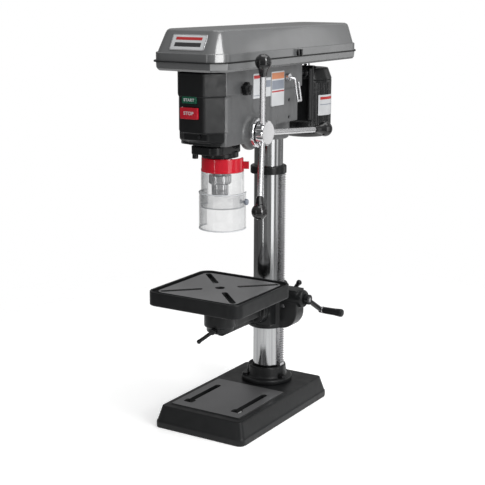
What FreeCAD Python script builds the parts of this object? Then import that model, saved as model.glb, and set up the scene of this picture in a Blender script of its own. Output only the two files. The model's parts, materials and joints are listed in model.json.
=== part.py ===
import FreeCAD, Part
import math
import os

# Bench drill press, in millimetres. The origin is on the column's axis at the bench top,
# +Z is up, -Y is the operator's side and +X is the operator's right.

V = FreeCAD.Vector
X, Y, Z = V(1, 0, 0), V(0, 1, 0), V(0, 0, 1)

# ---- clearances ----
RUN = 0.05      # radial running clearance of a shaft or slide
GAP = 0.3       # air between pieces that pass each other

# ---- main layout ----
COLUMN_R = 36.5
COLUMN_WALL = 4.0
THROAT = 228.0                    # spindle axis in front of the column axis
SPINDLE_Y = -THROAT
BASE_TOP = 55.0
FOOT_TOP = 97.0
COLUMN_TOP = 828.0
COLLAR_BOTTOM, COLLAR_TOP = 603.0, 624.0
HEAD_BOTTOM, HEAD_STEP, HEAD_TOP = 706.0, 822.0, 880.0
SOCKET_TOP = 738.0                # the head's flat sides end here, above its round column socket
SEAM_Z = 901.0                    # where the belt cover's lid meets its pan
LID_TOP = 972.0

# ---- base ----
BASE_HALF, BASE_FRONT, BASE_BACK = 128.0, -331.0, 102.0
BASE_SLOPE = 13.0                 # how far the sides lean in
BASE_LIP = 16.0                   # height of the upright lip
BASE_WALL = 9.0
PAD_HALF, PAD_FRONT, PAD_BACK, PAD_TOP = 99.0, -299.0, -80.0, 58.0
BASE_SLOT_X, BASE_SLOT_FRONT, BASE_SLOT_BACK, BASE_SLOT_W = 69.0, -266.0, -124.0, 14.0
BOSS_R = 66.0

# ---- column foot ----
FOOT_R, FOOT_PLATE = 66.0, 13.0
FOOT_BOLT_R, FOOT_BOLT_ANGLES = 57.0, (-135.0, -15.0, 105.0)
BOLT_R, BOLT_FLATS, BOLT_HEAD = 5.0, 16.0, 7.0

# ---- gears and racks ----
MODULE = 2.0
TEETH = 14                        # both pinions
PITCH = math.pi * MODULE
PITCH_R = MODULE * TEETH / 2
ADDENDUM, DEDENDUM = 0.8 * MODULE, 1.05 * MODULE
BACKLASH = 0.35
PRESSURE = math.radians(20)
WORM_STARTS = 2
WORM_LEAD = WORM_STARTS * PITCH
WORM_R = 8.0

# ---- column rack ----
RACK_W = 19.0
RACK_TIP = 46.0
RACK_LINE = RACK_TIP - ADDENDUM
RACK_END_R = 43.5                 # the rack's ends are turned down to sit in the collars' grooves
RACK_GROOVE = 6.0

# ---- table ----
BRACKET_BOTTOM, BRACKET_TOP, BRACKET_R = 203.0, 318.0, 52.0
CRANK_Z = 286.0
HOUSING_END, HOUSING_CORNER = 97.0, 45.0     # the bracket's gear housing
GEAR_X, GEAR_Z = RACK_LINE + PITCH_R, CRANK_Z - PITCH_R - WORM_R
TILT_Z, TILT_R, TILT_FACE, TILT_PLATE = 264.0, 42.0, -72.0, 14.0
TABLE_HALF, TABLE_CORNER = 130.0, 28.0
TABLE_RIM, TABLE_FACE, TABLE_TROUGH, TABLE_UNDER, SKIRT_BOTTOM = 353.0, 351.0, 344.5, 336.0, 318.5
TABLE_WORK = 113.0                # half width of the machined face
TABLE_SLOT_W, TABLE_SLOT_IN, TABLE_SLOT_OUT = 12.6, 44.0, 146.0
TABLE_HOLE_R = 11.0
ARM_HUB_R, ARM_TOP = 39.0, 299.7
SPIGOT_R, SPIGOT_BOTTOM = 19.0, 246.0
TABLE_LEVER_ANGLE, TABLE_LEVER_Z = -80.0, 252.0
CRANK_RADIUS, CRANK_ANGLE = 67.4, math.radians(-35)
CRANK_HUB_X, CRANK_HUB_END = 112.0, 126.0
GRIP_START, GRIP_END = 135.0, 192.0

# ---- head ----
HEAD_HALF, HEAD_FRONT, HEAD_BACK = 64.0, -303.0, 52.0
HEAD_LIP = 2.5                    # the head's top band stands this proud
HEAD_CORNER, HEAD_WALL = 28.0, 8.0
SOCKET_BOTTOM = 693.0
HEAD_SCREWS = (750.0, 792.0)      # heights of the set screws that clamp the column
HEAD_SCREW_Y = -11.0
PAN_SCREWS = ((-44.0, -250.0), (44.0, -250.0), (-44.0, -20.0), (44.0, -20.0))
QUILL_R, QUILL_BOTTOM, QUILL_TOP = 27.0, 646.0, 862.0
QUILL_LINE = 24.4                 # the quill rack's pitch line, behind the spindle axis
PINION_Y, PINION_Z = SPINDLE_Y + QUILL_LINE + PITCH_R, 731.0
SHAFT_R = 8.0
FEED_BOSS_R, FEED_BOSS_END = 35.0, 80.0
RING_END, HUB_START, HUB_END, HUB_R, FLUTES = 88.2, 88.5, 110.0, 30.0, 12
ROD_X, ROD_R, ROD_REACH, ROD_CONE = 93.0, 7.0, 208.0, math.radians(17.1)
ROD_ANGLES = (-2.0, 120.5, -124.5)
KNOB_R = 18.5
COVER_FRONT, COVER_FLAT = -347.0, 31.5
COVER_WALL = 3.0
COVER_STEPS = ((739.5, 0.0), (737.5, 15.5), (721.0, 16.0), (714.0, 34.0), (707.0, 35.0))   # height, set-back
COVER_SCREW_X, COVER_SCREW_Y, COVER_SCREW_Z = 11.5, COVER_FRONT + 15.5, 729.5
BUTTON_X = -5.0
LOCK_Y, LOCK_Z = -230.0, 835.0
START_Z, START_W, START_H = 814.5, 39.0, 16.0
STOP_Z, STOP_W, STOP_H = 784.5, 48.0, 26.0

# ---- chuck and guard ----
SPINDLE_R, SPLINE_R = 10.0, 8.0
CHUCK_BOTTOM, CHUCK_STEP, CHUCK_TOP = 578.0, 607.0, 631.0
CHUCK_R, SLEEVE_R, SLEEVE_BORE = 20.0, 27.0, 22.8
JAW_TILT = math.radians(16)
JAW_R, GRIP_R, JAW_CLOSE = 4.2, 5.0, 3.65
JAW_BOTTOM, JAW_TOP = 579.5, 610.0
GUARD_X, GUARD_Y = 4.0, SPINDLE_Y + 5.0
GUARD_FROM, GUARD_TO = -208.0, 30.0
CARRIER_R, CARRIER_BOTTOM, CARRIER_TOP = 49.0, 637.0, 668.0
UPPER_R, UPPER_BOTTOM = 51.4, 552.0
LOWER_R, LOWER_BOTTOM, LOWER_TOP = 56.2, 499.0, 588.0
SHIELD_T = 2.6
SHIELD_KNOB_ANGLE, SHIELD_KNOB_Z = 12.0, 566.0
CLAMP_R = 31.0

# ---- drive ----
PAN_BOTTOM = HEAD_TOP
SHEET = 2.0
LID_HALF, LID_FLAT, LID_FRONT, LID_BACK = 98.0, 72.0, -380.0, 322.0
LID_NOSE, LID_TAIL = 33.0, 45.0       # lengths of the cover's tapered ends
LID_BAND, LID_SHOULDER = 920.0, 962.0
IDLER_Y, IDLER_PIVOT = -60.0, V(14, 20, 0)
MOTOR_Y, MOTOR_R = 194.0, 66.0
MOTOR_BOTTOM, MOTOR_TOP = 680.0, 862.0
PULLEY_BOTTOM, STEP_H = 890.0, 16.0
SPINDLE_STEPS = (70.0, 59.0, 48.0, 37.0)
IDLER_STEPS = (37.0, 48.0, 59.0, 70.0)
MOTOR_STEPS = (62.0, 52.0, 42.0, 32.0)
FRONT_STEP, REAR_STEP = 1, 2
GROOVE_DEPTH = 8.0
ROD_SLIDE_X, ROD_SLIDE_Z, ROD_SLIDE_R = 35.0, 850.0, 8.0
PLATE_Y, PLATE_T = 120.0, 7.0
LEVER_Y, LEVER_Z = -30.0, 849.0
HINGE_X, HINGE_Y = LID_HALF + 3.6, 150.0


# ---- helpers ----

def box(x0, x1, y0, y1, z0, z1):
    return Part.makeBox(x1 - x0, y1 - y0, z1 - z0, V(x0, y0, z0))


def rod(radius, start, axis, length):
    return Part.makeCylinder(radius, length, start, axis)


def post(radius, x, y, z0, z1):
    return rod(radius, V(x, y, z0), Z, z1 - z0)


def tube(outer, inner, x, y, z0, z1):
    return post(outer, x, y, z0, z1).cut(post(inner, x, y, z0 - 1, z1 + 1))


def bar(radius, start, end):
    return rod(radius, start, end - start, (end - start).Length)


def turned(profile, start, axis):
    """A solid of revolution. The profile holds (radius, height) pairs along axis from start."""
    points = [V(r, 0, h) for r, h in profile]
    face = Part.Face(Part.makePolygon(points + points[:1]))
    solid = face.revolve(V(0, 0, 0), Z, 360)
    solid.Placement = FreeCAD.Placement(start, FreeCAD.Rotation(Z, axis))
    return solid


def outline(points, z):
    corners = [V(x, y, z) for x, y in points]
    return Part.makePolygon(corners + corners[:1])


def prism(points, z0, z1):
    return Part.Face(outline(points, z0)).extrude(V(0, 0, z1 - z0))


def rounded(x0, x1, y0, y1, z, radius):
    """A rounded rectangle as a wire at height z."""
    corners = [(x1, y0, -90), (x1, y1, 0), (x0, y1, 90), (x0, y0, 180)]
    edges, first, last = [], None, None
    for x, y, turn in corners:
        cx = x - radius if x == x1 else x + radius
        cy = y + radius if y == y0 else y - radius
        a = [math.radians(turn + step) for step in (0, 45, 90)]
        p = [V(cx + radius * math.cos(t), cy + radius * math.sin(t), z) for t in a]
        if last:
            edges.append(Part.LineSegment(last, p[0]).toShape())
        edges.append(Part.Arc(p[0], p[1], p[2]).toShape())
        first = first or p[0]
        last = p[2]
    edges.append(Part.LineSegment(last, first).toShape())
    return Part.Wire(edges)


def slab(x0, x1, y0, y1, z0, z1, radius):
    return Part.Face(rounded(x0, x1, y0, y1, z0, radius)).extrude(V(0, 0, z1 - z0))


def loft(*wires):
    return Part.makeLoft(list(wires), True, True)


def hexagon(flats, start, axis, height):
    reach = flats / math.sqrt(3)
    points = [V(reach * math.cos(math.radians(60 * k)), reach * math.sin(math.radians(60 * k)), 0)
              for k in range(6)]
    solid = Part.Face(Part.makePolygon(points + points[:1])).extrude(V(0, 0, height))
    solid.Placement = FreeCAD.Placement(start, FreeCAD.Rotation(Z, axis))
    return solid


def bolt(start, axis, shank):
    """A hex bolt whose head stands on start and whose shank goes against axis."""
    head = hexagon(BOLT_FLATS, start, axis, BOLT_HEAD)
    return head.fuse(rod(BOLT_R, start, axis * -1, shank))


def polar(radius, degrees, z=0.0, x=0.0, y=0.0):
    a = math.radians(degrees)
    return V(x + radius * math.cos(a), y + radius * math.sin(a), z)


def arc_band(outer, inner, start, end, x, y, z0, z1):
    """Part of a ring between two angles in degrees."""
    middle = (start + end) / 2
    a = Part.Arc(polar(outer, start, z0, x, y), polar(outer, middle, z0, x, y), polar(outer, end, z0, x, y))
    b = Part.Arc(polar(inner, end, z0, x, y), polar(inner, middle, z0, x, y), polar(inner, start, z0, x, y))
    edges = [a.toShape(),
             Part.LineSegment(polar(outer, end, z0, x, y), polar(inner, end, z0, x, y)).toShape(),
             b.toShape(),
             Part.LineSegment(polar(inner, start, z0, x, y), polar(outer, start, z0, x, y)).toShape()]
    return Part.Face(Part.Wire(edges)).extrude(V(0, 0, z1 - z0))


def union(shapes):
    solid = shapes[0]
    for shape in shapes[1:]:
        solid = solid.fuse(shape)
    return solid.removeSplitter()


def moved(shape, offset):
    copy = shape.copy()
    copy.translate(offset)
    return copy


# ---- gear shapes ----

def involute(base_r, radius):
    """Polar angle of the involute of base_r at radius."""
    if radius <= base_r:
        return 0.0
    roll = math.sqrt((radius / base_r) ** 2 - 1)
    return roll - math.atan(roll)


def pinion(centre, axis, length, tooth_at):
    """A spur pinion with one tooth centred on the direction tooth_at."""
    base_r = PITCH_R * math.cos(PRESSURE)
    tip_r, root_r = PITCH_R + ADDENDUM, PITCH_R - DEDENDUM
    half = math.pi / (2 * TEETH) - BACKLASH / (4 * PITCH_R)
    at_pitch = involute(base_r, PITCH_R)
    radii = [max(base_r, root_r) + (tip_r - max(base_r, root_r)) * k / 4 for k in range(5)]
    flank = [(r, half + at_pitch - involute(base_r, r)) for r in radii]
    points = []
    for tooth in range(TEETH):
        middle = 2 * math.pi * tooth / TEETH
        left = [(root_r, -flank[0][1])] + [(r, -a) for r, a in flank]
        right = [(r, a) for r, a in reversed(flank)] + [(root_r, flank[0][1])]
        for r, a in left + right:
            points.append(V(r * math.cos(middle + a), r * math.sin(middle + a), 0))
    gear = Part.Face(Part.makePolygon(points + points[:1])).extrude(V(0, 0, length))
    side = axis.cross(tooth_at)
    matrix = FreeCAD.Matrix(tooth_at.x, side.x, axis.x, centre.x,
                            tooth_at.y, side.y, axis.y, centre.y,
                            tooth_at.z, side.z, axis.z, centre.z,
                            0, 0, 0, 1)
    return gear.transformGeometry(matrix)


def rack_spaces(line, out, width, z_mid, z0, z1, x=0.0, y=0.0, tip=4.0):
    """Tooth spaces of a rack, one of them centred at z_mid, cut from the side that out points to."""
    side = Z.cross(out)
    half = PITCH / 4 + BACKLASH / 4
    slope = math.tan(PRESSURE)
    spaces = []
    first = math.ceil((z0 - z_mid) / PITCH)
    last = math.floor((z1 - z_mid) / PITCH)
    for k in range(first, last + 1):
        middle = z_mid + k * PITCH
        points = []
        for depth, sign in ((-DEDENDUM, -1), (tip, -1), (tip, 1), (-DEDENDUM, 1)):
            z = middle + sign * (half + depth * slope)
            points.append(V(x, y, z) + out * (line + depth) - side * (width / 2))
        face = Part.Face(Part.makePolygon(points + points[:1]))
        spaces.append(face.extrude(side * width))
    return Part.makeCompound(spaces)


# ---- base and column ----

def make_base():
    lip = slab(-BASE_HALF, BASE_HALF, BASE_FRONT, BASE_BACK, 0, BASE_LIP, 16)
    in_x, in_front, in_back = BASE_HALF - BASE_SLOPE, BASE_FRONT + BASE_SLOPE, BASE_BACK - BASE_SLOPE
    body = loft(rounded(-BASE_HALF + 1.5, BASE_HALF - 1.5, BASE_FRONT + 1.5, BASE_BACK - 1.5, BASE_LIP, 15),
                rounded(-in_x, in_x, in_front, in_back, BASE_TOP, 10))
    ceiling = BASE_TOP - 10
    hollow = loft(rounded(-BASE_HALF + BASE_WALL, BASE_HALF - BASE_WALL,
                          BASE_FRONT + BASE_WALL, BASE_BACK - BASE_WALL, -1, 10),
                  rounded(-in_x + BASE_WALL, in_x - BASE_WALL,
                          in_front + BASE_WALL, in_back - BASE_WALL, ceiling, 8))
    boss = post(BOSS_R, 0, 0, 0, ceiling + 1)
    cross_rib = box(-BASE_HALF, BASE_HALF, -86, -78, 4, ceiling + 1)
    long_ribs = [box(-4, 4, BASE_FRONT, -80, 4, ceiling + 1),
                 box(-BASE_HALF, BASE_HALF, -4, 4, 4, ceiling + 1)]
    hollow = hollow.cut(boss).cut(cross_rib)
    for rib in long_ribs:
        hollow = hollow.cut(rib)
    pad = loft(rounded(-PAD_HALF, PAD_HALF, PAD_FRONT, PAD_BACK, BASE_TOP - 1, 4),
               rounded(-PAD_HALF + 1, PAD_HALF - 1, PAD_FRONT + 1, PAD_BACK - 1, PAD_TOP, 4))
    base = union([lip, body, pad]).cut(hollow)
    for side in (-1, 1):
        x = side * BASE_SLOT_X
        half = BASE_SLOT_W / 2
        slot = slab(x - half, x + half, BASE_SLOT_FRONT, BASE_SLOT_BACK, 20, PAD_TOP + 5, half - 0.01)
        entry = slab(x - 12, x + 12, BASE_SLOT_FRONT - 4, BASE_SLOT_FRONT + 16, 20, PAD_TOP + 5, 4)
        base = base.cut(slot).cut(entry)
    for angle in FOOT_BOLT_ANGLES:
        hole = polar(FOOT_BOLT_R, angle)
        base = base.cut(post(BOLT_R + RUN, hole.x, hole.y, 15, BASE_TOP + 1))
    return base


def make_foot():
    plate = turned([(0, 0), (FOOT_R, 0), (FOOT_R, FOOT_PLATE - 3), (FOOT_R - 3, FOOT_PLATE), (0, FOOT_PLATE)],
                   V(0, 0, BASE_TOP), Z)
    top = FOOT_TOP - BASE_TOP
    cone = turned([(0, FOOT_PLATE - 1), (54, FOOT_PLATE - 1), (52, FOOT_PLATE + 5),
                   (49.5, top - 2), (47.5, top), (0, top)], V(0, 0, BASE_TOP), Z)
    foot = plate.fuse(cone).cut(post(COLUMN_R, 0, 0, BASE_TOP - 1, FOOT_TOP + 1))
    foot = foot.cut(post(RACK_END_R + GAP, 0, 0, FOOT_TOP - RACK_GROOVE, FOOT_TOP + 1))
    for angle in FOOT_BOLT_ANGLES:
        at = polar(FOOT_BOLT_R, angle)
        foot = foot.cut(post(11, at.x, at.y, BASE_TOP + FOOT_PLATE, FOOT_TOP + 1))
        foot = foot.cut(post(BOLT_R + RUN, at.x, at.y, BASE_TOP - 1, FOOT_TOP))
    return foot


def make_foot_bolts():
    bolts = []
    for angle in FOOT_BOLT_ANGLES:
        at = polar(FOOT_BOLT_R, angle, BASE_TOP + FOOT_PLATE)
        bolts.append(bolt(at, Z, FOOT_PLATE + 30))
    return Part.makeCompound(bolts)


def make_column():
    return tube(COLUMN_R, COLUMN_R - COLUMN_WALL, 0, 0, BASE_TOP, COLUMN_TOP)


def make_collar():
    height = COLLAR_TOP - COLLAR_BOTTOM
    ring = turned([(COLUMN_R, 0), (44.5, 0), (46, 1.5), (46, height - 2.5), (43.5, height),
                   (COLUMN_R, height)], V(0, 0, COLLAR_BOTTOM), Z)
    ring = ring.cut(post(RACK_END_R + GAP, 0, 0, COLLAR_BOTTOM - 1, COLLAR_BOTTOM + RACK_GROOVE)
                    .cut(post(COLUMN_R, 0, 0, COLLAR_BOTTOM - 1, COLLAR_BOTTOM + RACK_GROOVE)))
    return ring.cut(rod(4 + RUN, V(0, 0, COLLAR_BOTTOM + 13), Y * -1, 50))


def make_rack():
    """The rack strip, hollowed to hug the column, with its teeth facing +X."""
    bottom, top = FOOT_TOP - RACK_GROOVE + GAP, COLLAR_BOTTOM + RACK_GROOVE - GAP
    strip = box(30, RACK_TIP, -RACK_W / 2, RACK_W / 2, bottom, top)
    strip = strip.cut(post(COLUMN_R + GAP, 0, 0, bottom - 1, top + 1))
    spaces = rack_spaces(RACK_LINE, X, RACK_W + 2, GEAR_Z, FOOT_TOP + 4, COLLAR_BOTTOM - 4)
    strip = strip.cut(spaces)
    for z0, z1 in ((bottom - 1, FOOT_TOP + 1), (COLLAR_BOTTOM - 1, top + 1)):
        strip = strip.cut(tube(80, RACK_END_R, 0, 0, z0, z1))
    return strip


def set_screw(start, axis, length):
    socket = hexagon(4, start - axis * 4, axis, 5)
    return rod(4, start - axis * length, axis, length).cut(socket)


def make_set_screws():
    """Socket set screws: one in the rack collar, two in the head's column socket."""
    collar = set_screw(V(0, -45, COLLAR_BOTTOM + 13), Y * -1, 45 - COLUMN_R)
    head = [set_screw(V(HEAD_HALF - 1, HEAD_SCREW_Y, z), X, HEAD_HALF - 1 - COLUMN_R) for z in HEAD_SCREWS]
    return Part.makeCompound([collar] + head)


# ---- table ----

def make_bracket():
    height = BRACKET_TOP - BRACKET_BOTTOM
    sleeve = turned([(0, 0), (BRACKET_R - 3, 0), (BRACKET_R, 3), (BRACKET_R, height - 3),
                     (BRACKET_R - 3, height), (0, height)], V(0, 0, BRACKET_BOTTOM), Z)
    tilt_boss = rod(TILT_R, V(0, TILT_FACE, TILT_Z), Y, -TILT_FACE)
    neck = box(-TILT_R, TILT_R, TILT_FACE + 14, 0, BRACKET_BOTTOM + 12, BRACKET_TOP - 16)
    corner = V(HOUSING_END - HOUSING_CORNER, 0, BRACKET_BOTTOM + 2 + HOUSING_CORNER)
    housing = box(20, HOUSING_END, -21, 21, BRACKET_BOTTOM + 2, CRANK_Z + 23)
    housing = housing.cut(box(corner.x, HOUSING_END + 1, -22, 22, BRACKET_BOTTOM, corner.z)
                          .cut(rod(HOUSING_CORNER, V(corner.x, -23, corner.z), Y, 46)))
    crank_boss = turned([(0, 0), (23, 0), (23, 62), (20, 67), (0, 67)],
                        V(CRANK_HUB_X - GAP - 67, 0, CRANK_Z), X)
    lugs = box(-17, 17, 30, 78, TILT_Z - 28, TILT_Z + 28)
    body = union([sleeve, tilt_boss, neck, housing, crank_boss, lugs])
    body = body.cut(post(COLUMN_R + 0.15, 0, 0, 0, 900))
    body = body.cut(box(20, RACK_TIP + GAP, -RACK_W / 2 - GAP, RACK_W / 2 + GAP, 0, 900))
    body = body.cut(box(-1.5, 1.5, 20, 90, 0, 900))
    body = body.cut(rod(PITCH_R + ADDENDUM + 0.6, V(GEAR_X, -8, GEAR_Z), Y, 16))
    body = body.cut(rod(5 + RUN, V(GEAR_X, -25, GEAR_Z), Y, 50))
    body = body.cut(rod(WORM_R + 2.4, V(RACK_TIP, 0, CRANK_Z), X, 26))
    body = body.cut(rod(6 + RUN, V(RACK_TIP, 0, CRANK_Z), X, 80))
    body = body.cut(rod(6 + RUN, V(-30, 64, TILT_Z), X, 60))
    return body.cut(rod(8 + RUN, V(0, TILT_FACE - 1, TILT_Z), Y, 22))


def make_gear():
    gear = pinion(V(GEAR_X, -7.5, GEAR_Z), Y, 15, X * -1)
    return gear.fuse(rod(5, V(GEAR_X, -18.5, GEAR_Z), Y, 37))


def worm_thread(length):
    """One start of the worm's thread, right-handed."""
    outer, root = WORM_R + ADDENDUM - 0.2, WORM_R - 2.6
    tip, foot = 0.55, 1.25
    helix = Part.makeHelix(WORM_LEAD, length, root)
    points = [V(root, 0, -foot), V(outer, 0, -tip), V(outer, 0, tip), V(root, 0, foot)]
    profile = Part.makePolygon(points + points[:1])
    return Part.Wire(helix.Edges).makePipeShell([profile], True, True)


def make_worm():
    """The crank shaft with its two-start worm; the threads straddle the gear at x = GEAR_X."""
    x0, x1 = RACK_TIP + 3, 69.5
    core = rod(WORM_R - 2.4, V(x0 - 1.5, 0, 0), X, x1 - x0 + 3)
    shaft = rod(6, V(x1 + 3, 0, 0), X, CRANK_HUB_END - x1 - 3).fuse(rod(WORM_R - 2.4, V(x1, 0, 0), X, 4))
    # the thread starts at x0 and must be at GEAR_X when it points down
    turn = 360 * (GEAR_X - (x0 + 1.3)) / WORM_LEAD
    threads = []
    for start in range(WORM_STARTS):
        thread = worm_thread(x1 - x0 - 2.6)
        thread.Placement = FreeCAD.Placement(V(x0 + 1.3, 0, 0), FreeCAD.Rotation(Z, X))
        thread.rotate(V(0, 0, 0), X, 360 / WORM_STARTS * start - turn)
        threads.append(thread)
    return moved(union([core, shaft]).fuse(threads), V(0, 0, CRANK_Z))


def crank_end():
    return V(0, CRANK_RADIUS * math.cos(CRANK_ANGLE), CRANK_Z + CRANK_RADIUS * math.sin(CRANK_ANGLE))


def make_crank_arm():
    end = crank_end()
    hub = rod(13, V(CRANK_HUB_X, 0, CRANK_Z), X, CRANK_HUB_END - CRANK_HUB_X)
    hub = hub.cut(rod(6, V(CRANK_HUB_X - 1, 0, CRANK_Z), X, 30))
    eye = rod(8, V(GRIP_START - 10, end.y, end.z), X, 9)
    root, tip = V(CRANK_HUB_X + 6, 0, CRANK_Z), V(GRIP_START - 6, end.y, end.z)
    blade = bar(6.5, root + (tip - root) * 0.12, tip)
    blade = blade.cut(rod(7, V(CRANK_HUB_X - 5, 0, CRANK_Z), X, 35))
    pin = rod(4, V(GRIP_START - 4, end.y, end.z), X, GRIP_END - GRIP_START - 2)
    return union([hub, blade, eye, pin])


def make_crank_grip():
    end = crank_end()
    length = GRIP_END - GRIP_START
    body = turned([(0, 0), (7.5, 0), (8.8, 4), (9.2, length * 0.6), (10.5, length - 6), (9.5, length - 1.5),
                   (7.5, length), (0, length)], V(GRIP_START, end.y, end.z), X)
    return body.cut(rod(4 + RUN, V(GRIP_START - 1, end.y, end.z), X, length - 4))


def make_bracket_lever():
    """The column clamp bolt with its cranked lever."""
    y = 64
    bolt_body = rod(6, V(-24, y, TILT_Z), X, 43)
    nut = hexagon(18, V(-25.5, y, TILT_Z), X, 8)
    hub = rod(10, V(17.5, y, TILT_Z), X, 18)
    handle = bar(5.5, V(28, y, TILT_Z), V(58, y, TILT_Z + 44))
    end = Part.makeSphere(7.5, V(58, y, TILT_Z + 44))
    return union([bolt_body, nut, hub, handle, end])


def make_table_arm():
    front = TILT_FACE - TILT_PLATE
    disc = rod(TILT_R, V(0, TILT_FACE - GAP, TILT_Z), Y * -1, TILT_PLATE)
    wide = [(-30, front + 2), (-26, SPINDLE_Y), (26, SPINDLE_Y), (30, front + 2)]
    beam = prism(wide, TILT_Z - 16, ARM_TOP - 8)
    web = prism([(-9, front), (-7, SPINDLE_Y), (7, SPINDLE_Y), (9, front)], TILT_Z - 36, TILT_Z)
    top = ARM_TOP - 238
    hub = turned([(0, 0), (23, 0), (23, 5), (33, 5), (33, 18), (ARM_HUB_R, 18), (ARM_HUB_R, top), (0, top)],
                 V(0, SPINDLE_Y, 238), Z)
    body = union([disc, beam, web, hub])
    body = body.cut(post(SPIGOT_R + RUN, 0, SPINDLE_Y, SPIGOT_BOTTOM - GAP, ARM_TOP + 1))
    body = body.cut(post(TABLE_HOLE_R + 2, 0, SPINDLE_Y, 230, ARM_TOP))
    body = body.cut(rod(8 + RUN, V(0, TILT_FACE + 1, TILT_Z), Y * -1, 30))
    body = body.cut(box(-12, 12, front - 16, front, TILT_Z - 12, TILT_Z + 12))
    return body.cut(rod(5 + RUN, V(0, SPINDLE_Y, TABLE_LEVER_Z), polar(1, TABLE_LEVER_ANGLE), 60))


def make_tilt_bolt():
    """The bolt that the arm tilts on; it is held in the bracket."""
    shank = rod(8, V(0, TILT_FACE + 20, TILT_Z), Y * -1, 20 + TILT_PLATE + 2)
    head = hexagon(20, V(0, TILT_FACE - TILT_PLATE - 2, TILT_Z), Y * -1, 9)
    return shank.fuse(head)


def make_table():
    half, top = TABLE_HALF, TABLE_RIM
    y0, y1 = SPINDLE_Y - half, SPINDLE_Y + half
    body = slab(-half, half, y0, y1, SKIRT_BOTTOM, top, TABLE_CORNER)
    wall = 6.0
    corner = TABLE_CORNER - wall
    inside = slab(-half + wall, half - wall, y0 + wall, y1 - wall, TABLE_TROUGH, top + 1, corner)
    under = slab(-half + wall, half - wall, y0 + wall, y1 - wall, SKIRT_BOTTOM - 1, TABLE_UNDER, corner)
    work = TABLE_WORK
    face = slab(-work, work, SPINDLE_Y - work, SPINDLE_Y + work, TABLE_TROUGH - 1, TABLE_FACE, 20)
    boss = post(45, 0, SPINDLE_Y, SKIRT_BOTTOM - 8, TABLE_UNDER + 1)
    neck = post(ARM_HUB_R, 0, SPINDLE_Y, ARM_TOP + GAP, SKIRT_BOTTOM)
    spigot = post(SPIGOT_R, 0, SPINDLE_Y, SPIGOT_BOTTOM, SKIRT_BOTTOM)
    ribs = [box(-half + 3, half - 3, SPINDLE_Y - 3, SPINDLE_Y + 3, SKIRT_BOTTOM + 4, TABLE_UNDER + 1),
            box(-3, 3, y0 + 3, y1 - 3, SKIRT_BOTTOM + 4, TABLE_UNDER + 1)]
    table = union([body.cut(inside).cut(under), face, boss, neck, spigot] + ribs)
    for turn in (45, 135, 225, 315):
        slot = slab(TABLE_SLOT_IN, TABLE_SLOT_OUT, -TABLE_SLOT_W / 2, TABLE_SLOT_W / 2,
                    TABLE_UNDER - 1, top + 5, TABLE_SLOT_W / 2 - 0.01)
        slot.rotate(V(0, 0, 0), Z, turn)
        slot.translate(V(0, SPINDLE_Y, 0))
        table = table.cut(slot)
    return table.cut(post(TABLE_HOLE_R, 0, SPINDLE_Y, SPIGOT_BOTTOM - 1, top + 1))


def make_table_lever():
    """The table clamp screw, radial in the arm's hub, with its cranked handle."""
    out = polar(1, TABLE_LEVER_ANGLE)
    axis_point = V(0, SPINDLE_Y, TABLE_LEVER_Z)
    screw = rod(5, axis_point + out * (SPIGOT_R + 0.2), out, 23)
    hub = rod(7.5, axis_point + out * (ARM_HUB_R + GAP), out, 12)
    root, tip = axis_point + out * (ARM_HUB_R + 6), axis_point + out * (ARM_HUB_R + 11) + V(-38, 0, -30)
    handle = bar(4.6, root, tip)
    cap = Part.makeSphere(5.6, tip)
    return union([screw, hub, handle, cap])


# ---- head ----

def head_cavity():
    """The space inside the head casting, round the bosses that stay solid."""
    wall = HEAD_WALL
    upper = slab(-HEAD_HALF + wall, HEAD_HALF - wall, HEAD_FRONT + wall, HEAD_BACK - wall,
                 SOCKET_TOP + wall, HEAD_TOP - wall, 6)
    lower = slab(-HEAD_HALF + wall, HEAD_HALF - wall, HEAD_FRONT + wall, -72 - wall,
                 HEAD_BOTTOM + wall, SOCKET_TOP + 2 * wall, 6)
    bosses = [post(COLUMN_R + 13, 0, 0, HEAD_BOTTOM, HEAD_TOP),
              post(QUILL_R + 10, 0, SPINDLE_Y, HEAD_BOTTOM, HEAD_TOP),
              rod(27, V(-HEAD_HALF, PINION_Y, PINION_Z), X, 2 * HEAD_HALF),
              rod(11, V(QUILL_R, LOCK_Y, LOCK_Z), X, HEAD_HALF),
              rod(12, V(ROD_SLIDE_X + 8, LEVER_Y, LEVER_Z), X, HEAD_HALF)]
    bosses += [rod(15, V(side * ROD_SLIDE_X, -100, ROD_SLIDE_Z), Y, 160) for side in (-1, 1)]
    bosses += [post(8, x, y, HEAD_TOP - 30, HEAD_TOP) for x, y in PAN_SCREWS]
    return upper.fuse(lower).cut(Part.makeCompound(bosses))


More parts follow.
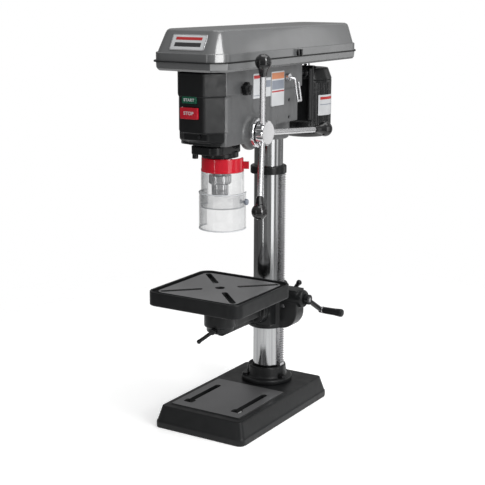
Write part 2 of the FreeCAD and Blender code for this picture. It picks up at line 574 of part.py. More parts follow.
def make_head():
    half, lip = HEAD_HALF, HEAD_LIP
    upper = slab(-half - lip, half + lip, HEAD_FRONT - 2, HEAD_BACK + lip, HEAD_STEP, HEAD_TOP, 8)
    middle = slab(-half, half, HEAD_FRONT, HEAD_BACK, SOCKET_TOP, HEAD_STEP + 1, HEAD_CORNER)
    lower = slab(-half + 0.4, half - 0.4, HEAD_FRONT + 0.4, -72, HEAD_BOTTOM, SOCKET_TOP + 1, 8)
    socket = turned([(0, 0), (46, 0), (50, 4), (52, 12), (52, SOCKET_TOP + 1 - SOCKET_BOTTOM),
                     (0, SOCKET_TOP + 1 - SOCKET_BOTTOM)], V(0, 0, SOCKET_BOTTOM), Z)
    reach = FEED_BOSS_END - half
    boss = turned([(0, -10), (43, -10), (43, 0), (38.5, 4), (FEED_BOSS_R, 11), (FEED_BOSS_R, reach),
                   (0, reach)], V(half, PINION_Y, PINION_Z), X)
    left_boss = rod(34, V(-half + 1, PINION_Y, PINION_Z), X * -1, 7)
    plug = rod(20, V(half - 1, -168, 792), X, 2.4)
    pad = slab(-22, 22, -15, 15, 0, 3.5, 7)
    pad.Placement = FreeCAD.Placement(V(half - 1, -88, 757), FreeCAD.Rotation(Z, X))
    head = union([upper, middle, lower, socket, boss, left_boss, plug, pad]).cut(head_cavity())
    bores = [post(COLUMN_R, 0, 0, 600, COLUMN_TOP),
             post(QUILL_R + RUN, 0, SPINDLE_Y, 600, QUILL_TOP + 4),
             post(17, 0, SPINDLE_Y, QUILL_TOP, HEAD_TOP + 1),
             rod(PITCH_R + ADDENDUM + 0.8, V(-12, PINION_Y, PINION_Z), X, 24),
             rod(SHAFT_R + RUN, V(-80, PINION_Y, PINION_Z), X, 200),
             post(7 + RUN, IDLER_PIVOT.x, IDLER_PIVOT.y, 846, HEAD_TOP + 1),
             rod(5 + RUN, V(ROD_SLIDE_X + ROD_SLIDE_R + 2.5, LEVER_Y, LEVER_Z), X, 30),
             rod(4 + RUN, V(QUILL_R - 1, LOCK_Y, LOCK_Z), X, 50),
             rod(2, V(COVER_SCREW_X, HEAD_FRONT - 5, COVER_SCREW_Z), Y, 15)]
    bores += [rod(ROD_SLIDE_R + RUN, V(side * ROD_SLIDE_X, -92, ROD_SLIDE_Z), Y, 200) for side in (-1, 1)]
    bores += [rod(4, V(COLUMN_R - 2, HEAD_SCREW_Y, z), X, 30) for z in HEAD_SCREWS]
    bores += [post(3, x, y, HEAD_TOP - 12, HEAD_TOP + 1) for x, y in PAN_SCREWS]
    for bore in bores:
        head = head.cut(bore)
    return head


def cover_outline(flat, front, side, z, back=HEAD_FRONT + 10):
    """The front cover's plan: a flat front between two slanted cheeks, running back into the head."""
    turn = min(4.0, (HEAD_FRONT - front) / 3)
    points = [(-side, back), (-side, HEAD_FRONT), (-flat - turn, front + turn), (-flat, front),
              (flat, front), (flat + turn, front + turn), (side, HEAD_FRONT), (side, back)]
    return outline(points, z)


def cover_skin(inset):
    """The front cover's outer shape, or with an inset its inside."""
    side, flat = HEAD_HALF + 1.5 - inset, COVER_FLAT - inset * 0.6
    wires = [cover_outline(flat, COVER_FRONT + back + inset, side, z + (inset if z < HEAD_STEP else 0))
             for z, back in ((HEAD_STEP + 1, 0.0),) + COVER_STEPS]
    lower = Part.makeLoft(wires, True, True)
    top = cover_outline(flat + 1, COVER_FRONT + inset - 3.5, side + 3, HEAD_STEP + inset)
    return lower.fuse(Part.Face(top).extrude(V(0, 0, HEAD_TOP - 5 - HEAD_STEP - 2 * inset)))


def make_front_cover():
    inside = cover_skin(COVER_WALL)
    cover = cover_skin(0).cut(inside)
    cover = cover.cut(box(-80, 80, HEAD_FRONT - 2.3, 0, HEAD_BOTTOM - 10, HEAD_TOP))
    for z, width, height in ((START_Z, START_W, START_H), (STOP_Z, STOP_W, STOP_H)):
        hole = button_block(z, width + 2 * GAP, height + 2 * GAP, COVER_FRONT - 12, COVER_FRONT + 12)
        cover = cover.cut(hole)
    return cover.cut(rod(2, V(COVER_SCREW_X, COVER_SCREW_Y - 1, COVER_SCREW_Z), Y, 20))


def button_block(z, width, height, y0, y1):
    block = slab(-width / 2, width / 2, -height / 2, height / 2, 0, y1 - y0, 2.5)
    block.rotate(V(0, 0, 0), X, 90)
    block.translate(V(BUTTON_X, y1, z))
    return block


def make_button(z, width, height, proud):
    """A push button with a stem that ends behind the panel."""
    cap = button_block(z, width, height, COVER_FRONT - proud, COVER_FRONT + 7)
    stem = rod(5, V(BUTTON_X, COVER_FRONT + 7, z), Y, 12)
    return cap.fuse(stem)


def make_cover_screws():
    """Pan-head screws: one low on the front cover, four inside the belt cover pan."""
    front = V(COVER_SCREW_X, COVER_SCREW_Y - 0.5, COVER_SCREW_Z)
    screws = [rod(4, front, Y * -1, 2.5).fuse(rod(2, front, Y, HEAD_FRONT + 9 - front.y))]
    for x, y in PAN_SCREWS:
        head = post(6, x, y, PAN_BOTTOM + SHEET, PAN_BOTTOM + SHEET + 3.5)
        screws.append(head.fuse(post(3, x, y, HEAD_TOP - 11, PAN_BOTTOM + SHEET)))
    return Part.makeCompound(screws)


def make_quill_collar():
    """The black bearing cap bolted under the head round the quill, with a nose at the front."""
    plate = slab(-42, 42, -304, -186, 684, HEAD_BOTTOM - 4, 26)
    ring = post(44, 0, SPINDLE_Y, 672, 686)
    seat = slab(-38, 38, HEAD_FRONT + 4, -188, HEAD_BOTTOM - 5, HEAD_BOTTOM, 20)
    ear = post(7, -30, -288, 672, 690)
    cap = union([plate, ring, seat, ear])
    cap = cap.cut(box(-60, 60, -400, HEAD_FRONT + 3, HEAD_BOTTOM - 4.5, HEAD_BOTTOM + 1))
    return cap.cut(post(QUILL_R + RUN, 0, SPINDLE_Y, 660, HEAD_BOTTOM + 1))


def make_lock_knob():
    """Five-lobed knob of the quill lock, on the head's right side."""
    start = V(HEAD_HALF + HEAD_LIP + 3, LOCK_Y, LOCK_Z)
    body = rod(12, start, X, 12)
    for k in range(5):
        a = math.radians(72 * k + 18)
        body = body.fuse(rod(5.2, start + V(0, 11 * math.cos(a), 11 * math.sin(a)), X, 12))
    cap = rod(7, start + X * 12, X, 4)
    stud = rod(4, V(QUILL_R + GAP, LOCK_Y, LOCK_Z), X, start.x - QUILL_R)
    return union([body, cap, stud])


# ---- quill, spindle and chuck ----

def make_quill():
    quill = post(QUILL_R, 0, SPINDLE_Y, QUILL_BOTTOM, QUILL_TOP)
    flat = box(-9, 9, SPINDLE_Y + QUILL_LINE + ADDENDUM, SPINDLE_Y + 40, QUILL_BOTTOM + 34, QUILL_TOP + 1)
    quill = quill.cut(flat)
    quill = quill.cut(rack_spaces(QUILL_LINE, Y, 18, PINION_Z, QUILL_BOTTOM + 40, QUILL_TOP - 4,
                                  0, SPINDLE_Y))
    quill = quill.cut(post(SPINDLE_R + 2, 0, SPINDLE_Y, QUILL_BOTTOM - 1, QUILL_TOP + 1))
    for z0 in (QUILL_BOTTOM - 1, QUILL_TOP - 14):
        quill = quill.cut(post(20, 0, SPINDLE_Y, z0, z0 + 15))
    return quill


def make_quill_bearings():
    rings = [tube(20, SPINDLE_R + RUN, 0, SPINDLE_Y, z0, z0 + 13)
             for z0 in (QUILL_BOTTOM + 1, QUILL_TOP - 14)]
    return Part.makeCompound(rings)


def make_spindle():
    """The spindle: a drive tang and flange above the chuck, plain through the quill, splined on top."""
    shank = post(SPINDLE_R, 0, SPINDLE_Y, CHUCK_TOP + 8, QUILL_TOP)
    flange = turned([(0, 0), (15, 0), (16, 2), (16, 10), (0, 10)], V(0, SPINDLE_Y, CHUCK_TOP + 4), Z)
    arbor = turned([(0, 0), (7, 0), (8, 24), (0, 24)], V(0, SPINDLE_Y, CHUCK_TOP - 16), Z)
    top = post(SPLINE_R - 1.5, 0, SPINDLE_Y, QUILL_TOP - 1, 952)
    ridges = [box(-1.6, 1.6, SPINDLE_Y, SPINDLE_Y + SPLINE_R, QUILL_TOP - 1, 950) for _ in range(6)]
    for k, ridge in enumerate(ridges):
        ridge.rotate(V(0, SPINDLE_Y, 0), Z, 60 * k)
    return union([shank, flange, arbor, top] + ridges)


def jaw_axis(k):
    """The direction that jaw k slides along as the chuck closes: down and in."""
    a = math.radians(90 + 120 * k)
    return V(-math.sin(JAW_TILT) * math.cos(a), -math.sin(JAW_TILT) * math.sin(a), -math.cos(JAW_TILT))


def jaw_rod(k, radius, z0, z1):
    out = polar(1, 90 + 120 * k)
    start = V(0, SPINDLE_Y, z0) + out * (6.0 + (z0 - JAW_BOTTOM) * math.tan(JAW_TILT))
    return rod(radius, start, jaw_axis(k) * -1, (z1 - z0) / math.cos(JAW_TILT))


def make_jaw(k):
    """An inclined rod with its nose ground to a wedge and a round gripping face."""
    jaw = jaw_rod(k, JAW_R, JAW_BOTTOM - 6, JAW_TOP)
    jaw = jaw.common(box(-30, 30, SPINDLE_Y - 30, SPINDLE_Y + 30, JAW_BOTTOM, JAW_TOP - 1))
    apex = JAW_CLOSE
    reach = 40
    wedge = prism([(apex, 0), (apex + reach / 2, reach * math.sqrt(3) / 2), (apex + reach, 0),
                   (apex + reach / 2, -reach * math.sqrt(3) / 2)], JAW_BOTTOM - 1, JAW_TOP + 1)
    wedge.rotate(V(0, 0, 0), Z, 90 + 120 * k)
    wedge.translate(V(0, SPINDLE_Y, 0))
    return jaw.common(wedge).cut(post(GRIP_R, 0, SPINDLE_Y, JAW_BOTTOM - 1, JAW_TOP + 1))


def make_chuck_body():
    height = CHUCK_TOP - CHUCK_BOTTOM
    step = CHUCK_STEP - CHUCK_BOTTOM
    body = turned([(0, 0), (CHUCK_R - 3.5, 0), (CHUCK_R - 0.5, 3), (CHUCK_R, 6), (CHUCK_R, height - 4),
                   (CHUCK_R - 3, height), (0, height)], V(0, SPINDLE_Y, CHUCK_BOTTOM), Z)
    body = body.cut(post(6.5, 0, SPINDLE_Y, CHUCK_BOTTOM - 1, CHUCK_TOP - 17))
    body = body.cut(turned([(0, 0), (7, 0), (8, 24), (0, 24)], V(0, SPINDLE_Y, CHUCK_TOP - 16), Z))
    for k in range(3):
        body = body.cut(jaw_rod(k, JAW_R + RUN, JAW_BOTTOM - 8, CHUCK_TOP - 6))
        hole = polar(1, 30 + 120 * k)
        body = body.cut(rod(3.2, V(0, SPINDLE_Y, CHUCK_BOTTOM + step * 0.55) + hole * 13.5, hole, 10))
    return body


def make_chuck_sleeve():
    """The toothed sleeve; its nut thread inside drives the jaws."""
    height = CHUCK_TOP - CHUCK_STEP - 2
    sleeve = turned([(CHUCK_R + RUN, 0), (SLEEVE_R - 3.4, 0), (SLEEVE_R, 3.4), (SLEEVE_R, height - 1.5),
                     (SLEEVE_R - 1.5, height), (CHUCK_R + RUN, height)], V(0, SPINDLE_Y, CHUCK_STEP), Z)
    sleeve = sleeve.cut(post(SLEEVE_BORE, 0, SPINDLE_Y, CHUCK_STEP + 2.5, CHUCK_STEP + height - 2.5))
    notch = box(-1.1, 1.1, CHUCK_R, SLEEVE_R + 3, CHUCK_STEP - 1, CHUCK_STEP + 3)
    notch.rotate(V(0, CHUCK_R + 1, CHUCK_STEP), X, 30)
    notches = []
    for k in range(24):
        copy = notch.copy()
        copy.rotate(V(0, 0, 0), Z, 15 * k)
        copy.translate(V(0, SPINDLE_Y, 0))
        notches.append(copy)
    return sleeve.cut(Part.makeCompound(notches))


# ---- chuck guard ----

def guard_pin():
    return polar(CARRIER_R - 2, GUARD_FROM - 4, 0, GUARD_X, GUARD_Y)


def make_guard_clamp():
    """The split ring clamped on the quill's nose, with the guard's hinge lug."""
    ring = tube(CLAMP_R, QUILL_R, 0, SPINDLE_Y, QUILL_BOTTOM, CARRIER_TOP - 3)
    pin = guard_pin()
    ring_side = V(0, SPINDLE_Y, 0) + (pin - V(0, SPINDLE_Y, 0)).normalize() * (CLAMP_R - 3)
    along = pin - ring_side
    side = Z.cross(along).normalize() * 6
    corners = [ring_side - side, ring_side + side, pin + side, pin - side]
    lug = prism([(p.x, p.y) for p in corners], CARRIER_BOTTOM + 10, CARRIER_TOP - 8)
    eye = post(7, pin.x, pin.y, CARRIER_BOTTOM + 10, CARRIER_TOP - 8)
    clamp = union([ring, lug, eye])
    hinge_pin = post(3, pin.x, pin.y, CARRIER_BOTTOM + 1, CARRIER_TOP - 1)
    return clamp.cut(post(QUILL_R, 0, SPINDLE_Y, 600, 700)).fuse(hinge_pin)


def make_guard_carrier():
    """The red half ring that carries the clear shields, with its hinge knuckles and finger tab."""
    r, pin = CARRIER_R, guard_pin()
    band = arc_band(r, r - 4, GUARD_FROM + 12, GUARD_TO, GUARD_X, GUARD_Y, CARRIER_BOTTOM, CARRIER_TOP)
    rim = arc_band(r + 2.4, r - 1, GUARD_FROM + 14, GUARD_TO - 7, GUARD_X, GUARD_Y,
                   CARRIER_BOTTOM + 1, CARRIER_BOTTOM + 5)
    tab = arc_band(r + 14, r - 3, GUARD_TO - 5, GUARD_TO - 1, GUARD_X, GUARD_Y,
                   CARRIER_BOTTOM + 6, CARRIER_TOP - 7)
    carrier = band.fuse(rim).fuse(tab)
    for z0, z1 in ((CARRIER_BOTTOM + 0.5, CARRIER_BOTTOM + 10 - GAP),
                   (CARRIER_TOP - 8 + GAP, CARRIER_TOP - 0.5)):
        link = arc_band(r + 0.8, r - 4.6, GUARD_FROM - 3, GUARD_FROM + 16, GUARD_X, GUARD_Y, z0, z1)
        carrier = carrier.fuse(link.fuse(post(6.5, pin.x, pin.y, z0, z1)))
    return carrier.cut(post(3 + RUN, pin.x, pin.y, 600, 700))


def make_upper_shield():
    shield = arc_band(UPPER_R, UPPER_R - SHIELD_T, GUARD_FROM + 16, GUARD_TO, GUARD_X, GUARD_Y,
                      UPPER_BOTTOM, CARRIER_BOTTOM)
    slot = slab(-4, 4, SHIELD_KNOB_Z - 8, SHIELD_KNOB_Z + 57, 0, 80, 3.9)
    slot.rotate(V(0, 0, 0), X, 90)
    slot.rotate(V(0, 0, 0), Z, 90 + SHIELD_KNOB_ANGLE)
    slot.translate(V(GUARD_X, GUARD_Y, 0))
    return shield.cut(slot)


def make_lower_shield():
    band = arc_band(LOWER_R, LOWER_R - SHIELD_T, GUARD_FROM + 16, GUARD_TO, GUARD_X, GUARD_Y,
                    LOWER_BOTTOM, LOWER_TOP)
    out = polar(1, SHIELD_KNOB_ANGLE)
    return band.cut(rod(3, V(GUARD_X, GUARD_Y, SHIELD_KNOB_Z) + out * 45, out, 20))


def make_shield_knob():
    out = polar(1, SHIELD_KNOB_ANGLE)
    centre = V(GUARD_X, GUARD_Y, SHIELD_KNOB_Z)
    screw = rod(2.9, centre + out * 45.5, out, 14)
    nut = rod(6, centre + out * 45.5, out, 2.6)
    head = turned([(0, 0), (6, 0), (7.5, 2), (7.5, 6), (6, 8), (0, 8)], centre + out * (LOWER_R + GAP), out)
    return union([screw, nut, head])


# ---- feed ----

def make_pinion_shaft():
    gear = pinion(V(-8, PINION_Y, PINION_Z), X, 16, Y * -1)
    shaft = rod(SHAFT_R, V(-68, PINION_Y, PINION_Z), X, HUB_END - 4 + 68)
    return gear.fuse(shaft)


def make_feed_hub():
    """The fluted hub; each handle screws into a lug at the mouth of a flute."""
    length = HUB_END - HUB_START
    hub = turned([(0, 0), (HUB_R - 3, 0), (HUB_R, 3), (HUB_R, length - 2.5), (HUB_R - 2, length - 0.5),
                  (HUB_R - 4, length), (0, length)], V(HUB_START, PINION_Y, PINION_Z), X)
    for k in range(FLUTES):
        a = math.radians((k + 0.5) * 360 / FLUTES)
        at = V(HUB_START - 1, PINION_Y + (HUB_R + 2.2) * math.cos(a), PINION_Z + (HUB_R + 2.2) * math.sin(a))
        hub = hub.cut(rod(5.2, at, X, length + 2))
    for angle in ROD_ANGLES:
        hub = hub.fuse(rod(8.6, rod_point(angle, 14), rod_direction(angle), 18.5))
    hub = hub.cut(rod(SHAFT_R, V(HUB_START - 1, PINION_Y, PINION_Z), X, HUB_END - HUB_START - 3))
    for angle in ROD_ANGLES:
        hub = hub.cut(rod(ROD_R, rod_point(angle, 16), rod_direction(angle), 40))
    return hub


def rod_direction(angle):
    a = math.radians(angle)
    return V(math.sin(ROD_CONE), math.cos(ROD_CONE) * math.cos(a), math.cos(ROD_CONE) * math.sin(a))


def rod_point(angle, distance):
    return V(ROD_X, PINION_Y, PINION_Z) + rod_direction(angle) * distance


def make_feed_rods():
    rods = [rod(ROD_R, rod_point(angle, 16), rod_direction(angle), ROD_REACH - 36 - 16).fuse(
            rod(4, rod_point(angle, ROD_REACH - 36), rod_direction(angle), 24)) for angle in ROD_ANGLES]
    return Part.makeCompound(rods)


def make_feed_knobs():
    """Ball knobs with tapered necks."""
    profile = [(0, -36), (8.6, -36), (9.2, -33), (10.8, -22), (13.2, -13)]
    for k in range(9):
        a = math.radians(-45 + 15 * k)
        profile.append((KNOB_R * math.cos(a), KNOB_R * math.sin(a)))
    profile.append((0, KNOB_R))
    knobs = []
    for angle in ROD_ANGLES:
        knob = turned(profile, rod_point(angle, ROD_REACH), rod_direction(angle))
        knobs.append(knob.cut(rod(4, rod_point(angle, ROD_REACH - 37), rod_direction(angle), 25)))
    return Part.makeCompound(knobs)


def make_depth_ring():
    """The graduated depth ring round the feed shaft."""
    length = RING_END - FEED_BOSS_END - GAP
    ring = turned([(SHAFT_R + 4, 0), (34.5, 0), (35.5, 1), (35.5, length - 1), (34.5, length), (30, length),
                   (29, length - 2), (SHAFT_R + 4, length - 2)],
                  V(FEED_BOSS_END + GAP, PINION_Y, PINION_Z), X)
    return ring.cut(rod(SHAFT_R + RUN, V(60, PINION_Y, PINION_Z), X, 30))


def make_spring_housing():
    """The drawn cap of the quill return spring, on the head's left side."""
    start = V(-HEAD_HALF - 6, PINION_Y, PINION_Z)
    cap = turned([(0, 18), (26, 18), (28, 16), (28, 0), (31, 0), (31, 17), (28, 20.5), (0, 20.5)],
                 start, X * -1)
    return cap.cut(rod(SHAFT_R + GAP, V(-90, PINION_Y, PINION_Z), X, 60))


def make_return_spring():
    """A flat spiral spring of four turns."""
    inner_points, outer_points = [], []
    for k in range(72):
        a = 2 * math.pi * k / 18
        r = 9.6 + 4.1 * k / 18
        inner_points.append(V(r * math.cos(a), r * math.sin(a), 0))
        outer_points.append(V((r + 1.1) * math.cos(a), (r + 1.1) * math.sin(a), 0))
    path = inner_points + outer_points[::-1]
    strip = Part.Face(Part.makePolygon(path + path[:1])).extrude(V(0, 0, 12))
    strip.Placement = FreeCAD.Placement(V(-HEAD_HALF - 21, PINION_Y, PINION_Z), FreeCAD.Rotation(Z, X))
    return strip


# ---- belt cover and drive ----

def octagon(half, flat, front, back, side_front, side_back, z):
    """A plan with straight sides and tapered ends, at height z."""
    return outline([(-flat, front), (flat, front), (half, side_front), (half, side_back),
                    (flat, back), (-flat, back), (-half, side_back), (-half, side_front)], z)


def cover_plan(inset, z):
    """The belt cover's plan at height z."""
    return octagon(LID_HALF - inset, LID_FLAT - inset * 0.75, LID_FRONT + inset, LID_BACK - inset,
                   LID_FRONT + LID_NOSE, LID_BACK - LID_TAIL, z)


def make_pan():
    outer = loft(cover_plan(6, PAN_BOTTOM), cover_plan(1.5, PAN_BOTTOM + 5), cover_plan(0, SEAM_Z))
    inner = loft(cover_plan(6 + SHEET, PAN_BOTTOM + SHEET), cover_plan(1.5 + SHEET, PAN_BOTTOM + 5 + SHEET),
                 cover_plan(SHEET, SEAM_Z + 0.01))
    pan = outer.cut(inner)
    pan = pan.cut(post(19, 0, SPINDLE_Y, 870, 890))
    pan = pan.cut(post(9, IDLER_PIVOT.x, IDLER_PIVOT.y, 870, 890))
    for x, y in PAN_SCREWS:
        pan = pan.cut(post(3, x, y, 870, 890))
    return pan.cut(slab(-14, 14, MOTOR_Y - 36, MOTOR_Y + 14, 870, 890, 13.9))


def lid_skin(inset):
    """The lid's outer shape, or with an inset its inside: an upright band, then leaning walls whose
    end chamfers shrink towards the top."""
    band = Part.Face(cover_plan(inset, SEAM_Z + 0.4)).extrude(V(0, 0, LID_BAND - inset - SEAM_Z - 0.4))
    levels = ((LID_BAND, 94.5, 71.0, 4.0, 36.0, 4.0, 48.0),
              (LID_SHOULDER, 80.5, 66.0, 27.0, 48.0, 19.0, 52.0),
              (LID_TOP - 3, 77.5, 64.0, 31.0, 51.0, 22.0, 53.0),
              (LID_TOP, 72.0, 60.0, 36.0, 53.0, 27.0, 55.0))
    wires = []
    for z, side, flat, lean, nose, back_lean, tail in levels:
        half, flat = side - inset, flat - inset * 0.75
        front, back = LID_FRONT + lean + inset, LID_BACK - back_lean - inset
        z = z - (inset if z > LID_BAND else 0)
        wires.append(octagon(half, flat, front, back, LID_FRONT + nose, LID_BACK - tail, z))
    lower = loft(cover_plan(inset, LID_BAND - inset - 1), wires[0]) if inset else band
    return band.fuse(lower).fuse(loft(*wires))


def hinge_segment(y0, y1, radius):
    return rod(radius, V(-HINGE_X, y0, SEAM_Z), Y, y1 - y0)


def make_lid():
    """The belt cover's lid, with the hinges' moving leaves and knuckles welded on."""
    lid = lid_skin(0).cut(lid_skin(SHEET))
    for y in (-HINGE_Y, HINGE_Y):
        knuckle = hinge_segment(y - 8, y + 8, 3.2)
        leaf = box(-HINGE_X, -LID_HALF + 0.5, y - 8, y + 8, SEAM_Z + 1.6, SEAM_Z + 3.2)
        lid = lid.fuse(knuckle).fuse(leaf)
        lid = lid.cut(hinge_segment(y - 9, y + 9, 1.6 + RUN))
    return lid


def make_hinges():
    """The fixed leaves, knuckles and pins of the lid's two hinges."""
    parts = []
    for y in (-HINGE_Y, HINGE_Y):
        pin = hinge_segment(y - 24, y + 24, 1.6)
        solid = pin
        for y0, y1 in ((y - 24, y - 8 - GAP), (y + 8 + GAP, y + 24)):
            solid = solid.fuse(hinge_segment(y0, y1, 3.2))
            solid = solid.fuse(box(-HINGE_X, -LID_HALF - 0.05, y0, y1, SEAM_Z - 3.2, SEAM_Z - 1.6))
        parts.append(solid)
    return Part.makeCompound(parts)


def make_latch():
    """The turn latch on the lid's right side."""
    at = V(LID_HALF + GAP, -31, SEAM_Z + 9)
    knob = rod(8, at, X, 5)
    grip = box(at.x + 4, at.x + 12, at.y - 3, at.y + 3, at.z - 8, at.z + 8)
    return knob.fuse(grip)


def step_pulley(radii, x, y, bore, hub_bottom):
    """A four-step V pulley. The radii run from the bottom step up."""
    profile = [(0, 0)]
    for k, r in enumerate(radii):
        z = k * STEP_H
        bottom = r - GROOVE_DEPTH
        profile += [(r, z), (r, z + 2), (bottom, z + 4.5), (bottom, z + 11.5), (r, z + 14), (r, z + STEP_H)]
    profile.append((0, STEP_H * len(radii)))
    body = turned(profile, V(x, y, PULLEY_BOTTOM), Z)
    if hub_bottom < PULLEY_BOTTOM:
        body = body.fuse(post(16.9, x, y, hub_bottom, PULLEY_BOTTOM + 1))
    return body.cut(post(bore, x, y, hub_bottom - 1, 990))


def make_spindle_pulley():
    pulley = step_pulley(SPINDLE_STEPS, 0, SPINDLE_Y, SPLINE_R - 1.5 + RUN, QUILL_TOP + 6)
    for k in range(6):
        keyway = box(-1.7, 1.7, SPINDLE_Y, SPINDLE_Y + SPLINE_R + 0.1, QUILL_TOP, 990)
        keyway.rotate(V(0, SPINDLE_Y, 0), Z, 60 * k)
        pulley = pulley.cut(keyway)
    return pulley


def make_idler_pulley():
    return step_pulley(IDLER_STEPS, 0, IDLER_Y, 8 + RUN, PULLEY_BOTTOM)


def make_motor_pulley():
    return step_pulley(MOTOR_STEPS, 0, MOTOR_Y, 8, PULLEY_BOTTOM)


def make_idler_arm():
    """The swinging arm: a pivot in the head's top, a flat arm and the idler's spindle."""
    z0, z1 = PAN_BOTTOM + SHEET + GAP, PULLEY_BOTTOM - GAP
    p, q = IDLER_PIVOT, V(0, IDLER_Y, 0)
    along = (q - p).normalize()
    side = Z.cross(along) * 12
    arm = prism([((p + side).x, (p + side).y), ((p - side).x, (p - side).y),
                 ((q - side).x, (q - side).y), ((q + side).x, (q + side).y)], z0, z1)
    arm = union([arm, post(13, p.x, p.y, z0, z1), post(13, q.x, q.y, z0, z1)])
    return union([arm, post(7, p.x, p.y, 848, z0 + 1), post(8, q.x, q.y, z0, PULLEY_BOTTOM + 4 * STEP_H + 4)])


def belt_loop(y_a, r_a, y_b, r_b, z, width):
    """A flat loop of an open belt round two circles on the machine's centre line."""
    distance = y_b - y_a
    lean = math.asin((r_a - r_b) / distance)
    a_side = V(r_a * math.cos(lean), y_a + r_a * math.sin(lean), z)
    b_side = V(r_b * math.cos(lean), y_b + r_b * math.sin(lean), z)
    flip = lambda p: V(-p.x, p.y, p.z)
    edges = [Part.LineSegment(a_side, b_side).toShape(),
             Part.Arc(b_side, V(0, y_b + r_b, z), flip(b_side)).toShape(),
             Part.LineSegment(flip(b_side), flip(a_side)).toShape(),
             Part.Arc(flip(a_side), V(0, y_a - r_a, z), a_side).toShape()]
    return Part.Face(Part.Wire(edges)).extrude(V(0, 0, width))


def belt(y_a, radius_a, y_b, radius_b, step):
    z = PULLEY_BOTTOM + step * STEP_H + STEP_H / 2 - 3.1
    outer = belt_loop(y_a, radius_a - 0.6, y_b, radius_b - 0.6, z, 6.2)
    inner = belt_loop(y_a, radius_a - GROOVE_DEPTH + 0.5, y_b, radius_b - GROOVE_DEPTH + 0.5, z, 6.2)
    return outer.cut(inner)


def make_front_belt():
    return belt(SPINDLE_Y, SPINDLE_STEPS[FRONT_STEP], IDLER_Y, IDLER_STEPS[FRONT_STEP], FRONT_STEP)


def make_rear_belt():
    return belt(IDLER_Y, IDLER_STEPS[REAR_STEP], MOTOR_Y, MOTOR_STEPS[REAR_STEP], REAR_STEP)


# ---- motor ----

def make_motor_housing():
    """The finned middle barrel of the motor."""
    z0, z1 = MOTOR_BOTTOM + 26, MOTOR_TOP - 34
    barrel = post(MOTOR_R, 0, MOTOR_Y, z0, z1)
    fin_cuts = []
    for k in range(14):
        for centre in (205, 335):
            angle = centre + (k - 6.5) * 5
            groove = box(-1.4, 1.4, MOTOR_R - 3.5, MOTOR_R + 5, z0 + 6, z1 - 6)
            groove.rotate(V(0, 0, 0), Z, angle - 90)
            groove.translate(V(0, MOTOR_Y, 0))
            fin_cuts.append(groove)
    barrel = barrel.cut(Part.makeCompound(fin_cuts))
    foot = box(-40, 40, PLATE_Y + PLATE_T, MOTOR_Y - 50, z0 + 16, z1 - 16)
    return barrel.fuse(foot).cut(post(MOTOR_R - 6, 0, MOTOR_Y, z0 - 1, z1 + 1))


def make_motor_bells():
    """The two end bells, upper with the shaft boss and lower with the fan slots."""
    top_z, low_z = MOTOR_TOP - 34, MOTOR_BOTTOM + 26
    upper = turned([(0, 26), (MOTOR_R - 14, 26), (MOTOR_R - 6, 4), (MOTOR_R - 6, 0), (MOTOR_R, 0),
                    (MOTOR_R, 4), (MOTOR_R - 10, 30), (26, 30), (24, 34), (0, 34)], V(0, MOTOR_Y, top_z), Z)
    lower = turned([(0, -22), (MOTOR_R - 14, -22), (MOTOR_R - 4, -14), (MOTOR_R - 4, 0), (MOTOR_R, 0),
                    (MOTOR_R, -16), (MOTOR_R - 12, -26), (0, -26)], V(0, MOTOR_Y, low_z), Z)
    slots = []
    for k in range(12):
        slot = box(24, 48, -2.5, 2.5, -30, -10)
        slot.rotate(V(0, 0, 0), Z, 30 * k)
        slot.translate(V(0, MOTOR_Y, low_z))
        slots.append(slot)
    bore = post(8 + RUN, 0, MOTOR_Y, low_z - 22, 900)
    return Part.makeCompound([upper.cut(bore), lower.cut(Part.makeCompound(slots))])


def make_motor_rotor():
    shaft = post(8, 0, MOTOR_Y, MOTOR_BOTTOM + 8, PULLEY_BOTTOM + 4 * STEP_H - 2)
    core = post(40, 0, MOTOR_Y, MOTOR_BOTTOM + 50, MOTOR_TOP - 50)
    fan = post(46, 0, MOTOR_Y, MOTOR_BOTTOM + 16, MOTOR_BOTTOM + 20)
    return union([shaft, core, fan])


def make_motor_plate():
    plate = box(-58, 58, PLATE_Y, PLATE_Y + PLATE_T, 724, 868)
    ribs = [box(side * 54 - 3, side * 54 + 3, PLATE_Y - 12, PLATE_Y + 1, 730, 862) for side in (-1, 1)]
    bosses = [rod(15, V(side * ROD_SLIDE_X, PLATE_Y - 16, ROD_SLIDE_Z), Y, 17) for side in (-1, 1)]
    plate = union([plate] + ribs + bosses)
    for side in (-1, 1):
        plate = plate.cut(rod(ROD_SLIDE_R, V(side * ROD_SLIDE_X, PLATE_Y - 20, ROD_SLIDE_Z), Y, 40))
    return plate


def make_slide_rods():
    start, end = -68, PLATE_Y + PLATE_T
    return Part.makeCompound([rod(ROD_SLIDE_R, V(side * ROD_SLIDE_X, start, ROD_SLIDE_Z), Y, end - start)
                              for side in (-1, 1)])


def make_tension_lever():
    """The belt-tension lever: a bent loop of bright rod on a short shaft."""
    shaft = rod(5, V(ROD_SLIDE_X + ROD_SLIDE_R + 3, LEVER_Y, LEVER_Z), X, 22)
    hub = rod(9, V(HEAD_HALF + HEAD_LIP + GAP, LEVER_Y, LEVER_Z), X, 9)
    x = HEAD_HALF + 12
    top = V(x, LEVER_Y, LEVER_Z)
    loop = [top, V(x + 8, LEVER_Y + 9, LEVER_Z - 3), V(x + 13, LEVER_Y + 17, LEVER_Z - 58),
            V(x + 13, LEVER_Y + 33, LEVER_Z - 58), V(x + 10, LEVER_Y + 25, LEVER_Z - 14)]
    pieces = [shaft, hub]
    for a, b in zip(loop, loop[1:]):
        pieces.append(bar(3.2, a, b))
        pieces.append(Part.makeSphere(3.2, b))
    return union(pieces)


